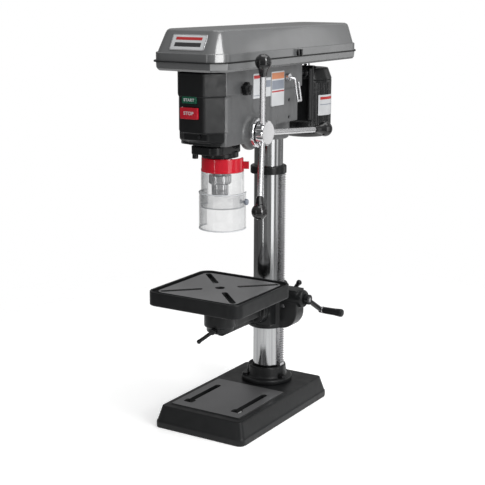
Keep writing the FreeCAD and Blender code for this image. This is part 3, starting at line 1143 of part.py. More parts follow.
NODES = {
    "base": make_base,
    "column_foot": make_foot,
    "foot_bolts": make_foot_bolts,
    "column": make_column,
    "rack_collar": make_collar,
    "column_rack": make_rack,
    "set_screws": make_set_screws,
    "table_bracket": make_bracket,
    "elevating_gear": make_gear,
    "worm_shaft": make_worm,
    "crank_arm": make_crank_arm,
    "crank_grip": make_crank_grip,
    "bracket_lever": make_bracket_lever,
    "table_arm": make_table_arm,
    "tilt_bolt": make_tilt_bolt,
    "table": make_table,
    "table_lever": make_table_lever,
    "head_casting": make_head,
    "front_cover": make_front_cover,
    "start_button": lambda: make_button(START_Z, START_W, START_H, 3.0),
    "stop_button": lambda: make_button(STOP_Z, STOP_W, STOP_H, 5.0),
    "cover_screws": make_cover_screws,
    "quill_collar": make_quill_collar,
    "quill_lock_knob": make_lock_knob,
    "quill": make_quill,
    "quill_bearings": make_quill_bearings,
    "spindle": make_spindle,
    "chuck_body": make_chuck_body,
    "chuck_sleeve": make_chuck_sleeve,
    "chuck_jaw_1": lambda: make_jaw(0),
    "chuck_jaw_2": lambda: make_jaw(1),
    "chuck_jaw_3": lambda: make_jaw(2),
    "guard_clamp": make_guard_clamp,
    "guard_carrier": make_guard_carrier,
    "upper_shield": make_upper_shield,
    "lower_shield": make_lower_shield,
    "shield_knob": make_shield_knob,
    "feed_pinion": make_pinion_shaft,
    "feed_hub": make_feed_hub,
    "feed_rods": make_feed_rods,
    "feed_knobs": make_feed_knobs,
    "depth_ring": make_depth_ring,
    "spring_housing": make_spring_housing,
    "return_spring": make_return_spring,
    "belt_cover_pan": make_pan,
    "belt_cover_lid": make_lid,
    "lid_hinges": make_hinges,
    "lid_latch": make_latch,
    "spindle_pulley": make_spindle_pulley,
    "idler_pulley": make_idler_pulley,
    "motor_pulley": make_motor_pulley,
    "idler_arm": make_idler_arm,
    "front_belt": make_front_belt,
    "rear_belt": make_rear_belt,
    "motor_housing": make_motor_housing,
    "motor_bells": make_motor_bells,
    "motor_rotor": make_motor_rotor,
    "motor_plate": make_motor_plate,
    "slide_rods": make_slide_rods,
    "tension_lever": make_tension_lever,
}

os.makedirs("parts", exist_ok=True)
for name, make in NODES.items():
    shape = make()
    shape.exportStep(f"parts/{name}.step")
    print(f"{name}: {len(shape.Solids)} solid(s), {shape.Volume / 1000:.1f} cm3, valid {shape.isValid()}")
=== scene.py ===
import bpy, bmesh, json, math
from mathutils import Matrix, Vector


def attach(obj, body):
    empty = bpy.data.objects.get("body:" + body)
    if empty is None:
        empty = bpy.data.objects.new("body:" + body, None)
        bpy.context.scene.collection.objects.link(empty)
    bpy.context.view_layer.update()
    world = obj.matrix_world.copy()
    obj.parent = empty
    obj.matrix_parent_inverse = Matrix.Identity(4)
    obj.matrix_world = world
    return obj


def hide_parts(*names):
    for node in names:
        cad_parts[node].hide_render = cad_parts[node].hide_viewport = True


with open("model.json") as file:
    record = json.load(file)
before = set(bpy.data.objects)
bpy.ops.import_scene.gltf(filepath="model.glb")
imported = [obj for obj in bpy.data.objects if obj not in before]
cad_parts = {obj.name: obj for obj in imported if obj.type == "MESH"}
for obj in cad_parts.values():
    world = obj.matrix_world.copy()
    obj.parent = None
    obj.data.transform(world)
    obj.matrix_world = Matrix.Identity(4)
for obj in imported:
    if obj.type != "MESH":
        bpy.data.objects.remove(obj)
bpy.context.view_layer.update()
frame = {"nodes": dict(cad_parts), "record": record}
nodes = frame["nodes"]
MM = 0.001

# ------------------------------------------------------------------ camera
AZIMUTH, ELEVATION, ROLL = math.radians(31.65), math.radians(12.54), math.radians(0.24)
CAMERA_AT = Vector((1.47254, -2.51372, 1.06818))
LENS, SENSOR, CLIP_END = 85.86, 36, 20


def make_camera():
    """The camera that took the photo, as fitted to it."""
    level = math.cos(ELEVATION)
    back = Vector((math.sin(AZIMUTH) * level, -math.cos(AZIMUTH) * level, math.sin(ELEVATION)))
    right = Vector((math.cos(AZIMUTH), math.sin(AZIMUTH), 0))
    up = back.cross(right)
    c, s = math.cos(ROLL), math.sin(ROLL)
    right, up = right * c + up * s, up * c - right * s
    data = bpy.data.cameras.new("camera")
    data.lens = LENS
    data.sensor_width = SENSOR
    data.clip_end = CLIP_END
    camera = bpy.data.objects.new("camera", data)
    rows = [(right[k], up[k], back[k], CAMERA_AT[k]) for k in range(3)]
    camera.matrix_world = Matrix(rows + [(0, 0, 0, 1)])
    bpy.context.scene.collection.objects.link(camera)
    bpy.context.scene.camera = camera


# ------------------------------------------------------------------ light and floor
WORLD_LEFT, WORLD_RIGHT, WORLD_TOP = 0.13, 0.42, 0.45
WORLD_SPREAD = 0.9                            # how far to each side the tone goes on changing
FLOOR_R, FLOOR_SIDES, FLOOR_DROP = 2.6, 96, 0.0004
FLOOR_FADE = (0.55, 1.5)                      # the floor fades out into the white round it
FLOOR_TONE, FLOOR_ROUGH, FLOOR_GLOW = 0.95, 0.8, 0.3
PANELS = (                                    # name, place, target, size, radiance
    ("overhead", (0.3, 0.1, 2.7), (0, -0.05, 0.6), (1.6, 1.6), 2.6),
    ("corner_card", (1.31, -0.784, 0.83), (0.085, -0.36, 0.91), (0.42, 0.22), 12),
    ("lid_card", (1.085, -0.514, 1.75), (0.08, -0.35, 0.94), (0.45, 0.45), 12),
)
UPRIGHTS = (                                  # name, azimuth, distance, width, low, high, radiance
    ("softbox", -24, 1.55, 0.6, 0.05, 1.7, 2.2),
    ("strip", -99, 1.5, 0.08, 0.05, 1.6, 4.5),
    ("side_fill", 14, 1.9, 0.5, 0.05, 1.6, 0.8),
    ("rack_fill", 60, 1.9, 0.5, 0.05, 1.6, 0.85),
)


def area_light(name, at, target, size, radiance):
    """A soft panel that lights and reflects but isn't seen itself."""
    data = bpy.data.lights.new(name, "AREA")
    data.shape = "RECTANGLE"
    data.size, data.size_y = size
    data.energy = radiance * math.pi * size[0] * size[1]
    light = bpy.data.objects.new(name, data)
    light.location = at
    light.rotation_euler = (Vector(target) - Vector(at)).to_track_quat("-Z", "Y").to_euler()
    light.visible_camera = False
    bpy.context.scene.collection.objects.link(light)


def upright_light(name, azimuth, distance, width, low, high, radiance):
    """A tall panel standing round the machine, facing its column."""
    a = math.radians(azimuth)
    middle = (low + high) / 2
    at = (distance * math.cos(a), distance * math.sin(a), middle)
    area_light(name, at, (0, 0, middle), (width, high - low), radiance)


def map_range(tree, value, low, high, out_low, out_high):
    """A node that carries value from one range to another."""
    node = tree.nodes.new("ShaderNodeMapRange")
    for key, number in (("From Min", low), ("From Max", high), ("To Min", out_low), ("To Max", out_high)):
        node.inputs[key].default_value = number
    tree.links.new(value, node.inputs["Value"])
    return node


def make_world():
    """White where the camera looks; for light and reflections, brighter on the right and above."""
    world = bpy.data.worlds.new("studio")
    world.use_nodes = True
    tree = world.node_tree
    background = tree.nodes["Background"]
    background.inputs[0].default_value = (1.0, 1.0, 1.0, 1)
    coords = tree.nodes.new("ShaderNodeTexCoord")
    parts = tree.nodes.new("ShaderNodeSeparateXYZ")
    path = tree.nodes.new("ShaderNodeLightPath")
    tree.links.new(coords.outputs["Generated"], parts.inputs[0])
    across = map_range(tree, parts.outputs[0], -WORLD_SPREAD, WORLD_SPREAD, WORLD_LEFT, WORLD_RIGHT)
    above = map_range(tree, parts.outputs[2], 0.0, 1.0, 0.0, WORLD_TOP)
    total = tree.nodes.new("ShaderNodeMath")
    total.operation = "ADD"
    tree.links.new(across.outputs[0], total.inputs[0])
    tree.links.new(above.outputs[0], total.inputs[1])
    seen = tree.nodes.new("ShaderNodeMix")
    tree.links.new(path.outputs["Is Camera Ray"], seen.inputs["Factor"])
    tree.links.new(total.outputs[0], seen.inputs["A"])
    seen.inputs["B"].default_value = 1.0
    tree.links.new(seen.outputs["Result"], background.inputs[1])
    bpy.context.scene.world = world


def floor_material():
    """Matt white, fading to nothing with the distance from the machine."""
    material = bpy.data.materials.new("floor")
    material.use_nodes = True
    tree = material.node_tree
    shader = tree.nodes["Principled BSDF"]
    shader.inputs["Base Color"].default_value = (FLOOR_TONE, FLOOR_TONE, FLOOR_TONE, 1)
    shader.inputs["Roughness"].default_value = FLOOR_ROUGH
    shader.inputs["Emission Color"].default_value = (1, 1, 1, 1)
    shader.inputs["Emission Strength"].default_value = FLOOR_GLOW
    coords = tree.nodes.new("ShaderNodeTexCoord")
    distance = tree.nodes.new("ShaderNodeVectorMath")
    distance.operation = "LENGTH"
    tree.links.new(coords.outputs["Object"], distance.inputs[0])
    fade = map_range(tree, distance.outputs["Value"], *FLOOR_FADE, 1, 0)
    fade.interpolation_type = "SMOOTHSTEP"
    tree.links.new(fade.outputs[0], shader.inputs["Alpha"])
    return material


def make_floor():
    """A pale disc just under the base."""
    turns = [math.tau * k / FLOOR_SIDES for k in range(FLOOR_SIDES)]
    ring = [(FLOOR_R * math.cos(a), FLOOR_R * math.sin(a), 0) for a in turns]
    mesh = bpy.data.meshes.new("floor")
    mesh.from_pydata(ring, [], [tuple(range(FLOOR_SIDES))])
    mesh.materials.append(floor_material())
    floor = bpy.data.objects.new("floor", mesh)
    floor.location.z = -FLOOR_DROP
    bpy.context.scene.collection.objects.link(floor)


make_camera()
make_world()
bpy.context.scene.view_settings.view_transform = "Standard"
for panel in PANELS:
    area_light(*panel)
for panel in UPRIGHTS:
    upright_light(*panel)
make_floor()


# ------------------------------------------------------------------ materials
class Graph:
    """A material's node tree, with short calls for the nodes used here."""

    SOCKETS = {"color": "Base Color", "rough": "Roughness", "metal": "Metallic", "normal": "Normal",
               "coat": "Coat Weight", "coat_rough": "Coat Roughness", "alpha": "Alpha", "ior": "IOR"}

    def __init__(self, name):
        self.material = bpy.data.materials.new(name)
        self.material.use_nodes = True
        self.tree = self.material.node_tree
        self.shader = self.tree.nodes["Principled BSDF"]

    def node(self, kind, values=None, **settings):
        node = self.tree.nodes.new(kind)
        for key, value in settings.items():
            setattr(node, key, value)
        for key, value in (values or {}).items():
            self.put(node.inputs[key], value)
        return node

    def put(self, socket, value):
        if isinstance(value, bpy.types.NodeSocket):
            self.tree.links.new(value, socket)
        else:
            socket.default_value = value

    def place(self, stretch=(1, 1, 1)):
        """Object coordinates, in metres, scaled per axis."""
        coords = self.node("ShaderNodeTexCoord").outputs["Object"]
        return self.node("ShaderNodeMapping", {"Vector": coords, "Scale": stretch}).outputs[0]

    def axis(self, k):
        return self.node("ShaderNodeSeparateXYZ", {0: self.place()}).outputs[k]

    def facing(self, k):
        """The surface's own direction along an axis, from -1 to 1."""
        normal = self.node("ShaderNodeNewGeometry").outputs["Normal"]
        return self.node("ShaderNodeSeparateXYZ", {0: normal}).outputs[k]

    def noise(self, scale, detail=3, roughness=0.5, stretch=(1, 1, 1)):
        return self.node("ShaderNodeTexNoise", {
            "Vector": self.place(stretch), "Scale": scale, "Detail": detail,
            "Roughness": roughness}).outputs["Fac"]

    def span(self, value, low, high, out_low=0.0, out_high=1.0):
        return self.node("ShaderNodeMapRange", {
            "Value": value, "From Min": low, "From Max": high,
            "To Min": out_low, "To Max": out_high}).outputs[0]

    def math(self, operation, a, b=0.0):
        return self.node("ShaderNodeMath", {0: a, 1: b}, operation=operation).outputs[0]

    def mix(self, factor, a, b):
        node = self.node("ShaderNodeMix", data_type="RGBA")
        self.put(node.inputs["Factor"], factor)
        self.put(node.inputs["A"], (*a, 1) if isinstance(a, tuple) else a)
        self.put(node.inputs["B"], (*b, 1) if isinstance(b, tuple) else b)
        return node.outputs["Result"]

    def blend(self, factor, a, b):
        """A number between a and b."""
        node = self.node("ShaderNodeMix")
        for key, value in (("Factor", factor), ("A", a), ("B", b)):
            self.put(node.inputs[key], value)
        return node.outputs["Result"]

    def bump(self, height, strength, distance):
        values = {"Height": height, "Strength": strength, "Distance": distance}
        return self.node("ShaderNodeBump", values).outputs[0]

    def set(self, **values):
        for key, value in values.items():
            if key == "color" and isinstance(value, tuple):
                value = (*value, 1)
            self.put(self.shader.inputs[self.SOCKETS[key]], value)
        return self.material


DARK_IOR = 1.3                                # black paint and plastic stay deep under the studio's white
GROUND_BAND, GROUND_UP = 0.0009, 0.9          # a ground face is this near its height, and faces up this much
TABLE_TOP, BASE_TOP = 0.351, 0.058
IRON_BLACK = (0.0085, 0.009, 0.0095)


def shade(color, factor):
    return tuple(min(1.0, c * factor) for c in color)


def paint(name, color, rough=0.35, spread=0.06, grain=900, bump=0.12, coat=0.0, vary=0.1, ior=1.5):
    """Paint over metal: slight tone drift, uneven gloss and a fine skin."""
    g = Graph(name)
    tone = g.mix(g.span(g.noise(9, 4), 0.35, 0.65), shade(color, 1 - vary), shade(color, 1 + vary))
    gloss = g.span(g.noise(30, 3), 0.3, 0.7, rough - spread, rough + spread)
    return g.set(color=tone, rough=gloss, normal=g.bump(g.noise(grain, 2), bump, 0.0004),
                 coat=coat, coat_rough=0.1, ior=ior)


def casting(name, color, rough=0.45, coat=0.1, vary=0.14, ior=1.5):
    """Paint over sand-cast iron: a lumpy skin under a fine one, with lighter dusty flecks scattered at
    random.
    """
    g = Graph(name)
    tone = g.mix(g.span(g.noise(7, 5, 0.6), 0.3, 0.7), shade(color, 1 - vary), shade(color, 1 + vary))
    tone = g.mix(g.span(g.noise(260, 3), 0.5, 0.8, 0.0, 0.25), tone, shade(color, 1.5))
    lumps = g.math("ADD", g.noise(120, 3), g.math("MULTIPLY", g.noise(620, 2), 0.45))
    gloss = g.span(g.noise(45, 3), 0.3, 0.7, rough - 0.07, rough + 0.09)
    return g.set(color=tone, rough=gloss, normal=g.bump(lumps, 0.22, 0.0008),
                 coat=coat, coat_rough=0.2, ior=ior)


def moulded(name, color, rough=0.4, grain=1400, bump=0.1, ior=1.5):
    """Moulded plastic with a faint texture."""
    g = Graph(name)
    tone = g.mix(g.span(g.noise(14, 3), 0.3, 0.7), shade(color, 0.9), shade(color, 1.1))
    gloss = g.span(g.noise(60, 2), 0.3, 0.7, rough - 0.05, rough + 0.05)
    return g.set(color=tone, rough=gloss, normal=g.bump(g.noise(grain, 2), bump, 0.0002), ior=ior)


def bare_metal(name, color, rough=0.25, spread=0.08, lines=(1, 1, 1), scale=400, bump=0.05, vary=0.12):
    """Machined metal: tool lines along the stretched axes."""
    g = Graph(name)
    marks = g.noise(scale, 2, 0.5, lines)
    tone = g.mix(g.span(marks, 0.3, 0.7), shade(color, 1 - vary), color)
    gloss = g.span(marks, 0.3, 0.7, max(0.03, rough - spread), rough + spread)
    return g.set(color=tone, rough=gloss, metal=1.0, normal=g.bump(marks, bump, 0.0002))


def machined_casting(name, paint_color, top, face_color):
    """Black painted iron whose upward faces at height top are ground bright, with paint in the rest."""
    g = Graph(name)
    height = g.axis(2)
    near = g.math("LESS_THAN", g.math("ABSOLUTE", g.math("SUBTRACT", height, top)), GROUND_BAND)
    up = g.math("GREATER_THAN", g.facing(2), GROUND_UP)
    face = g.math("MULTIPLY", near, up)
    swirl = g.noise(520, 4, 0.7)
    strokes = g.noise(900, 2, 0.5, (1.0, 0.08, 1.0))
    bright = g.mix(g.span(swirl, 0.3, 0.7), shade(face_color, 0.8), shade(face_color, 1.25))
    bright = g.mix(g.span(g.noise(11, 3), 0.3, 0.7, 0.0, 0.35), bright, shade(face_color, 0.72))
    skin = g.mix(g.span(g.noise(8, 4), 0.3, 0.7), shade(paint_color, 0.85), shade(paint_color, 1.15))
    tone = g.mix(face, skin, bright)
    lumps = g.math("ADD", g.noise(160, 3), g.math("MULTIPLY", g.noise(700, 2), 0.4))
    relief = g.bump(g.blend(face, lumps, strokes), 0.16, 0.0006)
    gloss = g.blend(face, g.span(g.noise(45, 3), 0.3, 0.7, 0.3, 0.44), g.span(swirl, 0.3, 0.7, 0.36, 0.52))
    return g.set(color=tone, rough=gloss, metal=g.math("MULTIPLY", face, 0.8), normal=relief, ior=DARK_IOR)


def clear_plastic(name):
    """Clear polycarbonate, greyer where it is seen edge on."""
    g = Graph(name)
    edge = g.node("ShaderNodeLayerWeight", {"Blend": 0.3}).outputs["Facing"]
    haze = g.noise(45, 3)
    cover = g.math("ADD", g.span(edge, 0.0, 1.0, 0.13, 0.6), g.span(haze, 0.4, 0.7, 0.0, 0.04))
    return g.set(color=(0.42, 0.43, 0.44), rough=0.05, alpha=cover, coat=0.4, coat_rough=0.03)


BLACK = casting("black_casting", IRON_BLACK, rough=0.36, coat=0.05, ior=DARK_IOR)
BLACK_PAINT = paint("black_paint", (0.008, 0.0085, 0.009), rough=0.26, coat=0.12, ior=DARK_IOR)
HEAD = casting("head_grey", (0.088, 0.09, 0.092), rough=0.4, coat=0.1, vary=0.1)
COVER = paint("cover_grey", (0.105, 0.107, 0.109), rough=0.2, spread=0.04, coat=0.5, bump=0.06, vary=0.06)
PLASTIC = moulded("black_plastic", (0.0075, 0.008, 0.0085), rough=0.36, ior=DARK_IOR)
GLOSS_BLACK = moulded("gloss_black", (0.003, 0.003, 0.0035), rough=0.1, bump=0.02)
STEEL = bare_metal("steel", (0.42, 0.42, 0.43), rough=0.26)
COLUMN = bare_metal("column_steel", (0.42, 0.425, 0.43), rough=0.13, spread=0.05, lines=(1.0, 1.0, 0.01),
                    scale=260, bump=0.05, vary=0.35)
CHROME = bare_metal("chrome", (0.7, 0.7, 0.71), rough=0.14, spread=0.04, scale=120, bump=0.01)
SATIN = bare_metal("satin_chrome", (0.6, 0.6, 0.61), rough=0.28, spread=0.04, scale=300, bump=0.02)
DARK_STEEL = bare_metal("dark_steel", (0.05, 0.05, 0.053), rough=0.35)
ALUMINIUM = bare_metal("aluminium", (0.55, 0.55, 0.56), rough=0.35)
RED = moulded("red_plastic", (0.55, 0.006, 0.02), rough=0.13, bump=0.03)
STOP_RED = moulded("stop_red", (0.42, 0.006, 0.018), rough=0.25, bump=0.04)
GREEN = moulded("green_plastic", (0.003, 0.075, 0.04), rough=0.25, bump=0.04)
WHITE = moulded("white_print", (0.5, 0.51, 0.52), rough=0.45, bump=0.0)
GREY_PRINT = moulded("grey_print", (0.2, 0.22, 0.26), rough=0.45, bump=0.0)
RED_PRINT = moulded("red_print", (0.38, 0.015, 0.015), rough=0.45, bump=0.0)
ORANGE_PRINT = moulded("orange_print", (0.5, 0.19, 0.09), rough=0.45, bump=0.0)
DARK_PRINT = moulded("dark_print", (0.02, 0.02, 0.022), rough=0.45, bump=0.0)
PLATE = bare_metal("name_plate", (0.5, 0.5, 0.51), rough=0.3, lines=(0.05, 1, 1), scale=600)
CLEAR = clear_plastic("clear_plastic")
BELT = moulded("belt_rubber", (0.02, 0.02, 0.02), rough=0.7)
# The table's ground face is set lighter than the base's ground face of the same iron: painted sheen for the
# light the table top catches.
TABLE_PAINTED_SHEEN = machined_casting("table_iron", IRON_BLACK, TABLE_TOP, (0.26, 0.26, 0.265))
BASE = machined_casting("base_iron", IRON_BLACK, BASE_TOP, (0.2, 0.2, 0.205))

DRESS = {
    "base": BASE, "column_foot": BLACK, "foot_bolts": DARK_STEEL, "column": COLUMN,
    "rack_collar": BLACK_PAINT, "set_screws": DARK_STEEL, "head_casting": HEAD, "front_cover": PLASTIC,
    "cover_screws": DARK_STEEL, "quill_collar": BLACK_PAINT, "spring_housing": BLACK_PAINT,
    "belt_cover_pan": COVER, "lid_hinges": STEEL, "front_belt": BELT, "rear_belt": BELT,
    "column_rack": STEEL, "table_bracket": BLACK, "tilt_bolt": DARK_STEEL, "elevating_gear": STEEL,
    "worm_shaft": STEEL, "crank_arm": BLACK_PAINT, "crank_grip": PLASTIC, "bracket_lever": BLACK_PAINT,
    "table_arm": BLACK, "table": TABLE_PAINTED_SHEEN, "table_lever": BLACK_PAINT, "start_button": GREEN,
    "stop_button": STOP_RED, "quill_lock_knob": PLASTIC, "quill": STEEL, "quill_bearings": STEEL,
    "guard_clamp": BLACK_PAINT, "spindle": STEEL, "chuck_body": CHROME, "chuck_sleeve": CHROME,
    "chuck_jaw_1": STEEL, "chuck_jaw_2": STEEL, "chuck_jaw_3": STEEL, "guard_carrier": RED,
    "upper_shield": CLEAR, "lower_shield": CLEAR, "shield_knob": GREY_PRINT, "feed_pinion": STEEL,
    "feed_hub": CHROME, "feed_rods": SATIN, "feed_knobs": GLOSS_BLACK, "return_spring": DARK_STEEL,
    "depth_ring": CHROME, "belt_cover_lid": COVER, "lid_latch": GLOSS_BLACK, "spindle_pulley": ALUMINIUM,
    "idler_arm": STEEL, "idler_pulley": ALUMINIUM, "motor_pulley": ALUMINIUM, "motor_housing": BLACK_PAINT,
    "motor_bells": BLACK_PAINT, "motor_plate": BLACK, "slide_rods": STEEL, "motor_rotor": STEEL,
    "tension_lever": SATIN,
}
BODY_OF = {node: body for body, held in frame["record"]["behaviour"]["bodies"].items() for node in held}

for name, material in DRESS.items():
    nodes[name].data.materials.clear()
    nodes[name].data.materials.append(material)


# ------------------------------------------------------------------ building pieces
X, Y, Z = Vector((1, 0, 0)), Vector((0, 1, 0)), Vector((0, 0, 1))
RIGHT_FACE, FRONT_FACE = (Y, Z), (X, Z)       # across and up, as seen from outside
SMOOTHING, KEPT_SHARE = 0.5, 0.4              # a round of smoothing's strength, and the share of faces kept
BEND_ANGLE, BEND_SEGMENTS = 18, 3
LETTER_SCALE, LETTER_SPACING, LETTER_WEIGHT = 1.36, 1.05, 0.0002


def settle(obj):
    """The object's mesh with its modifiers applied; the object itself goes."""
    graph = bpy.context.evaluated_depsgraph_get()
    mesh = bpy.data.meshes.new_from_object(obj.evaluated_get(graph))
    bpy.data.objects.remove(obj)
    return mesh


def loose(name, mesh):
    """The mesh as an object in the scene."""
    obj = bpy.data.objects.new(name, mesh)
    bpy.context.scene.collection.objects.link(obj)
    return obj


def add_piece(name, mesh, material, node, stands_for=()):
    """Shows a mesh as a piece that moves with a CAD node's body."""
    mesh.materials.clear()
    mesh.materials.append(material)
    piece = loose(name, mesh)
    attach(piece, BODY_OF[node])
    if stands_for:
        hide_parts(*stands_for)
    return piece


def cast_copy(node, voxel, rounds):
    """The node again, with edges as round as a casting's or a moulding's."""
    copy = loose(node, nodes[node].data.copy())
    remesh = copy.modifiers.new("remesh", "REMESH")
    remesh.mode = "VOXEL"
    remesh.voxel_size = voxel * MM
    smooth = copy.modifiers.new("smooth", "SMOOTH")
    smooth.factor = SMOOTHING
    smooth.iterations = rounds
    copy.modifiers.new("decimate", "DECIMATE").ratio = KEPT_SHARE
    mesh = settle(copy)
    mesh.shade_smooth()
    return add_piece(node + "_finished", mesh, DRESS[node], node, (node,))


def build(points, faces):
    """A mesh from points in millimetres, with its faces turned outwards."""
    mesh = bpy.data.meshes.new("piece")
    mesh.from_pydata([Vector(p) * MM for p in points], [], faces)
    work = bmesh.new()
    work.from_mesh(mesh)
    bmesh.ops.recalc_face_normals(work, faces=work.faces)
    work.to_mesh(mesh)
    work.free()
    return mesh


def bevelled(mesh, width):
    """The mesh with its edges rounded by width millimetres."""
    obj = loose("bevelled", mesh)
    bevel = obj.modifiers.new("bevel", "BEVEL")
    bevel.width = width * MM
    bevel.segments = BEND_SEGMENTS
    bevel.limit_method = "ANGLE"
    bevel.angle_limit = math.radians(BEND_ANGLE)
    bevel.harden_normals = True
    mesh.shade_smooth()
    return settle(obj)


def skin(rings, caps=True):
    """Points and faces of the surface through closed rings of points, all with the same count."""
    count = len(rings[0])
    points = [p for ring in rings for p in ring]
    faces = []
    for k in range(len(rings) - 1):
        for i in range(count):
            j = (i + 1) % count
            a, b = k * count, (k + 1) * count
            faces.append((a + i, a + j, b + j, b + i))
    if caps:
        faces.append(tuple(range(count)))
        faces.append(tuple(range(len(points) - count, len(points))))
    return points, faces


def rounded_ring(corners, radius, steps=5):
    """A closed plan through its corners, each rounded with the same number of points."""
    ring = []
    for k, corner in enumerate(corners):
        before, after = corners[k - 1] - corner, corners[(k + 1) % len(corners)] - corner
        reach = min(radius, before.length * 0.45, after.length * 0.45)
        start, end = corner + before.normalized() * reach, corner + after.normalized() * reach
        for i in range(steps + 1):
            t = i / steps
            ring.append(start.lerp(corner, t).lerp(corner.lerp(end, t), t))
    return ring


def sweep(section, centre, start, end, steps):
    """A closed (radius, z) section carried round an upright axis from start to end degrees."""
    rings = []
    for k in range(steps + 1):
        a = math.radians(start + (end - start) * k / steps)
        x, y = math.cos(a), math.sin(a)
        rings.append([Vector((centre[0] + r * x, centre[1] + r * y, z)) for r, z in section])
    return build(*skin(rings))


def lathe(profile, start, axis, steps):
    """A (distance along, radius) profile turned about an axis."""
    side = axis.orthogonal().normalized()
    other = axis.cross(side)
    turns = [math.tau * k / steps for k in range(steps)]
    spokes = [side * math.cos(a) + other * math.sin(a) for a in turns]
    rings = [[start + axis * along + spoke * r for spoke in spokes] for along, r in profile]
    return build(*skin(rings))


def turned_ring(inner, outer, length, edge, fall):
    """The profile of a ring whose outer edges are broken, edge along it and fall across it."""
    return [(0, inner), (0, outer - fall), (edge, outer), (length - edge, outer), (length, outer - fall),
            (length, inner)]


def plate(name, face, centre, size, thick, material, node, radius, soft):
    """A thin plate with round corners and a softened front edge, on the face that is given."""
    across, up = face
    out = across.cross(up)
    centre = Vector(centre)
    rings = []
    for depth, inset in ((0, 0), (thick - soft, 0), (thick, soft)):
        half_w, half_h = size[0] / 2 - inset, size[1] / 2 - inset
        corners = [centre + out * depth + across * (half_w * u) + up * (half_h * v)
                   for u, v in ((-1, -1), (1, -1), (1, 1), (-1, 1))]
        rings.append(rounded_ring(corners, radius))
    add_piece(name, build(*skin(rings)), material, node)


def lettering(name, words, face, centre, height, proud, material, node):
    """Raised generic lettering on a flat face."""
    across, up = face
    out = across.cross(up)
    curve = bpy.data.curves.new(name, "FONT")
    curve.body = words
    curve.size = height * LETTER_SCALE * MM
    curve.extrude = proud * MM
    curve.align_x = "CENTER"
    curve.align_y = "CENTER"
    curve.space_character = LETTER_SPACING
    curve.offset = LETTER_WEIGHT
    mesh = settle(loose(name, curve))
    at = Vector(centre) * MM
    mesh.transform(Matrix([(across[k], up[k], out[k], at[k]) for k in range(3)] + [(0, 0, 0, 1)]))
    add_piece(name, mesh, material, node)


# ------------------------------------------------------------------ castings and mouldings
CAST = (                                      # node, voxel in millimetres, rounds of smoothing
    ("head_casting", 1.8, 5), ("base", 2.0, 4), ("column_foot", 1.6, 5), ("table", 1.7, 2),
    ("table_arm", 1.7, 5), ("table_bracket", 1.6, 5), ("rack_collar", 1.2, 3), ("front_cover", 1.1, 3),
    ("quill_collar", 1.1, 4), ("guard_carrier", 0.8, 2), ("guard_clamp", 1.0, 3), ("crank_arm", 1.1, 4),
    ("crank_grip", 0.9, 4), ("bracket_lever", 0.9, 4), ("table_lever", 0.9, 4),
    ("quill_lock_knob", 0.8, 3), ("lid_latch", 0.7, 2), ("start_button", 0.7, 2), ("stop_button", 0.7, 2),
    ("motor_bells", 1.5, 3), ("motor_housing", 1.3, 2), ("motor_plate", 1.4, 3),
    ("spring_housing", 1.0, 3), ("shield_knob", 0.7, 2),
)
for row in CAST:
    cast_copy(*row)

# ------------------------------------------------------------------ belt cover
SEAM_Z, LID_LIFT = 901.0, 0.4
LID_HALF, LID_FLAT, LID_FRONT, LID_BACK = 98.0, 72.0, -380.0, 322.0
LID_NOSE, LID_TAIL = 33.0, 45.0
LID_BAND = 920.0
SHEET, SHEET_BEND = 2.0, 1.3
END_SHARE = 0.75                              # how much of an inset the ends' flat stretch takes
HINGE_X, HINGE_Y = -101.6, 150.0
KNUCKLE, KNUCKLE_R, PIN_R, KNUCKLE_EDGE, KNUCKLE_SIDES = 8.0, 3.2, 1.7, 0.3, 32
CORNER = 13.0                                 # the plan's corners are bent round, not folded sharp
LID_LEVELS = (                                # z, side, flat, front lean, nose, back lean, tail
    (LID_BAND, 94.5, 71.0, 4.0, 36.0, 4.0, 48.0), (962.0, 80.5, 66.0, 27.0, 48.0, 19.0, 52.0),
    (969.0, 77.5, 64.0, 31.0, 51.0, 22.0, 53.0), (972.0, 72.0, 60.0, 36.0, 53.0, 27.0, 55.0),
)


def octagon(half, flat, front, back, side_front, side_back, z):
    """A plan with straight sides and tapered ends, at height z."""
    corners = [(-flat, front), (flat, front), (half, side_front), (half, side_back),
               (flat, back), (-flat, back), (-half, side_back), (-half, side_front)]
    return rounded_ring([Vector((x, y, z)) for x, y in corners], CORNER)


def cover_plan(inset, z):
    """The cover's plan, or with an inset the inside of its sheet."""
    return octagon(LID_HALF - inset, LID_FLAT - inset * END_SHARE, LID_FRONT + inset, LID_BACK - inset,
                   LID_FRONT + LID_NOSE, LID_BACK - LID_TAIL, z)


def lid_rings(inset):
    """The lid's outer skin from the seam up, or with an inset its inside."""
    rings = [cover_plan(inset, SEAM_Z + LID_LIFT), cover_plan(inset, LID_BAND - inset)]
    for z, side, flat, lean, nose, back_lean, tail in LID_LEVELS:
        rings.append(octagon(side - inset, flat - inset * END_SHARE, LID_FRONT + lean + inset,
                             LID_BACK - back_lean - inset, LID_FRONT + nose, LID_BACK - tail, z - inset))
    return rings


def both_sides(outer, inner):
    """A sheet-metal shell: the outer rings and the inner ones, joined round the open edge."""
    count, total = len(outer[0]), sum(len(ring) for ring in outer)
    points, faces = skin(outer, caps=False)
    more, inside = skin(inner, caps=False)
    faces += [tuple(i + total for i in face) for face in inside]
    faces += [tuple(range(total - count, total)), tuple(range(total + len(more) - count, total + len(more)))]
    faces += [(i, (i + 1) % count, total + (i + 1) % count, total + i) for i in range(count)]
    return build(points + more, faces)


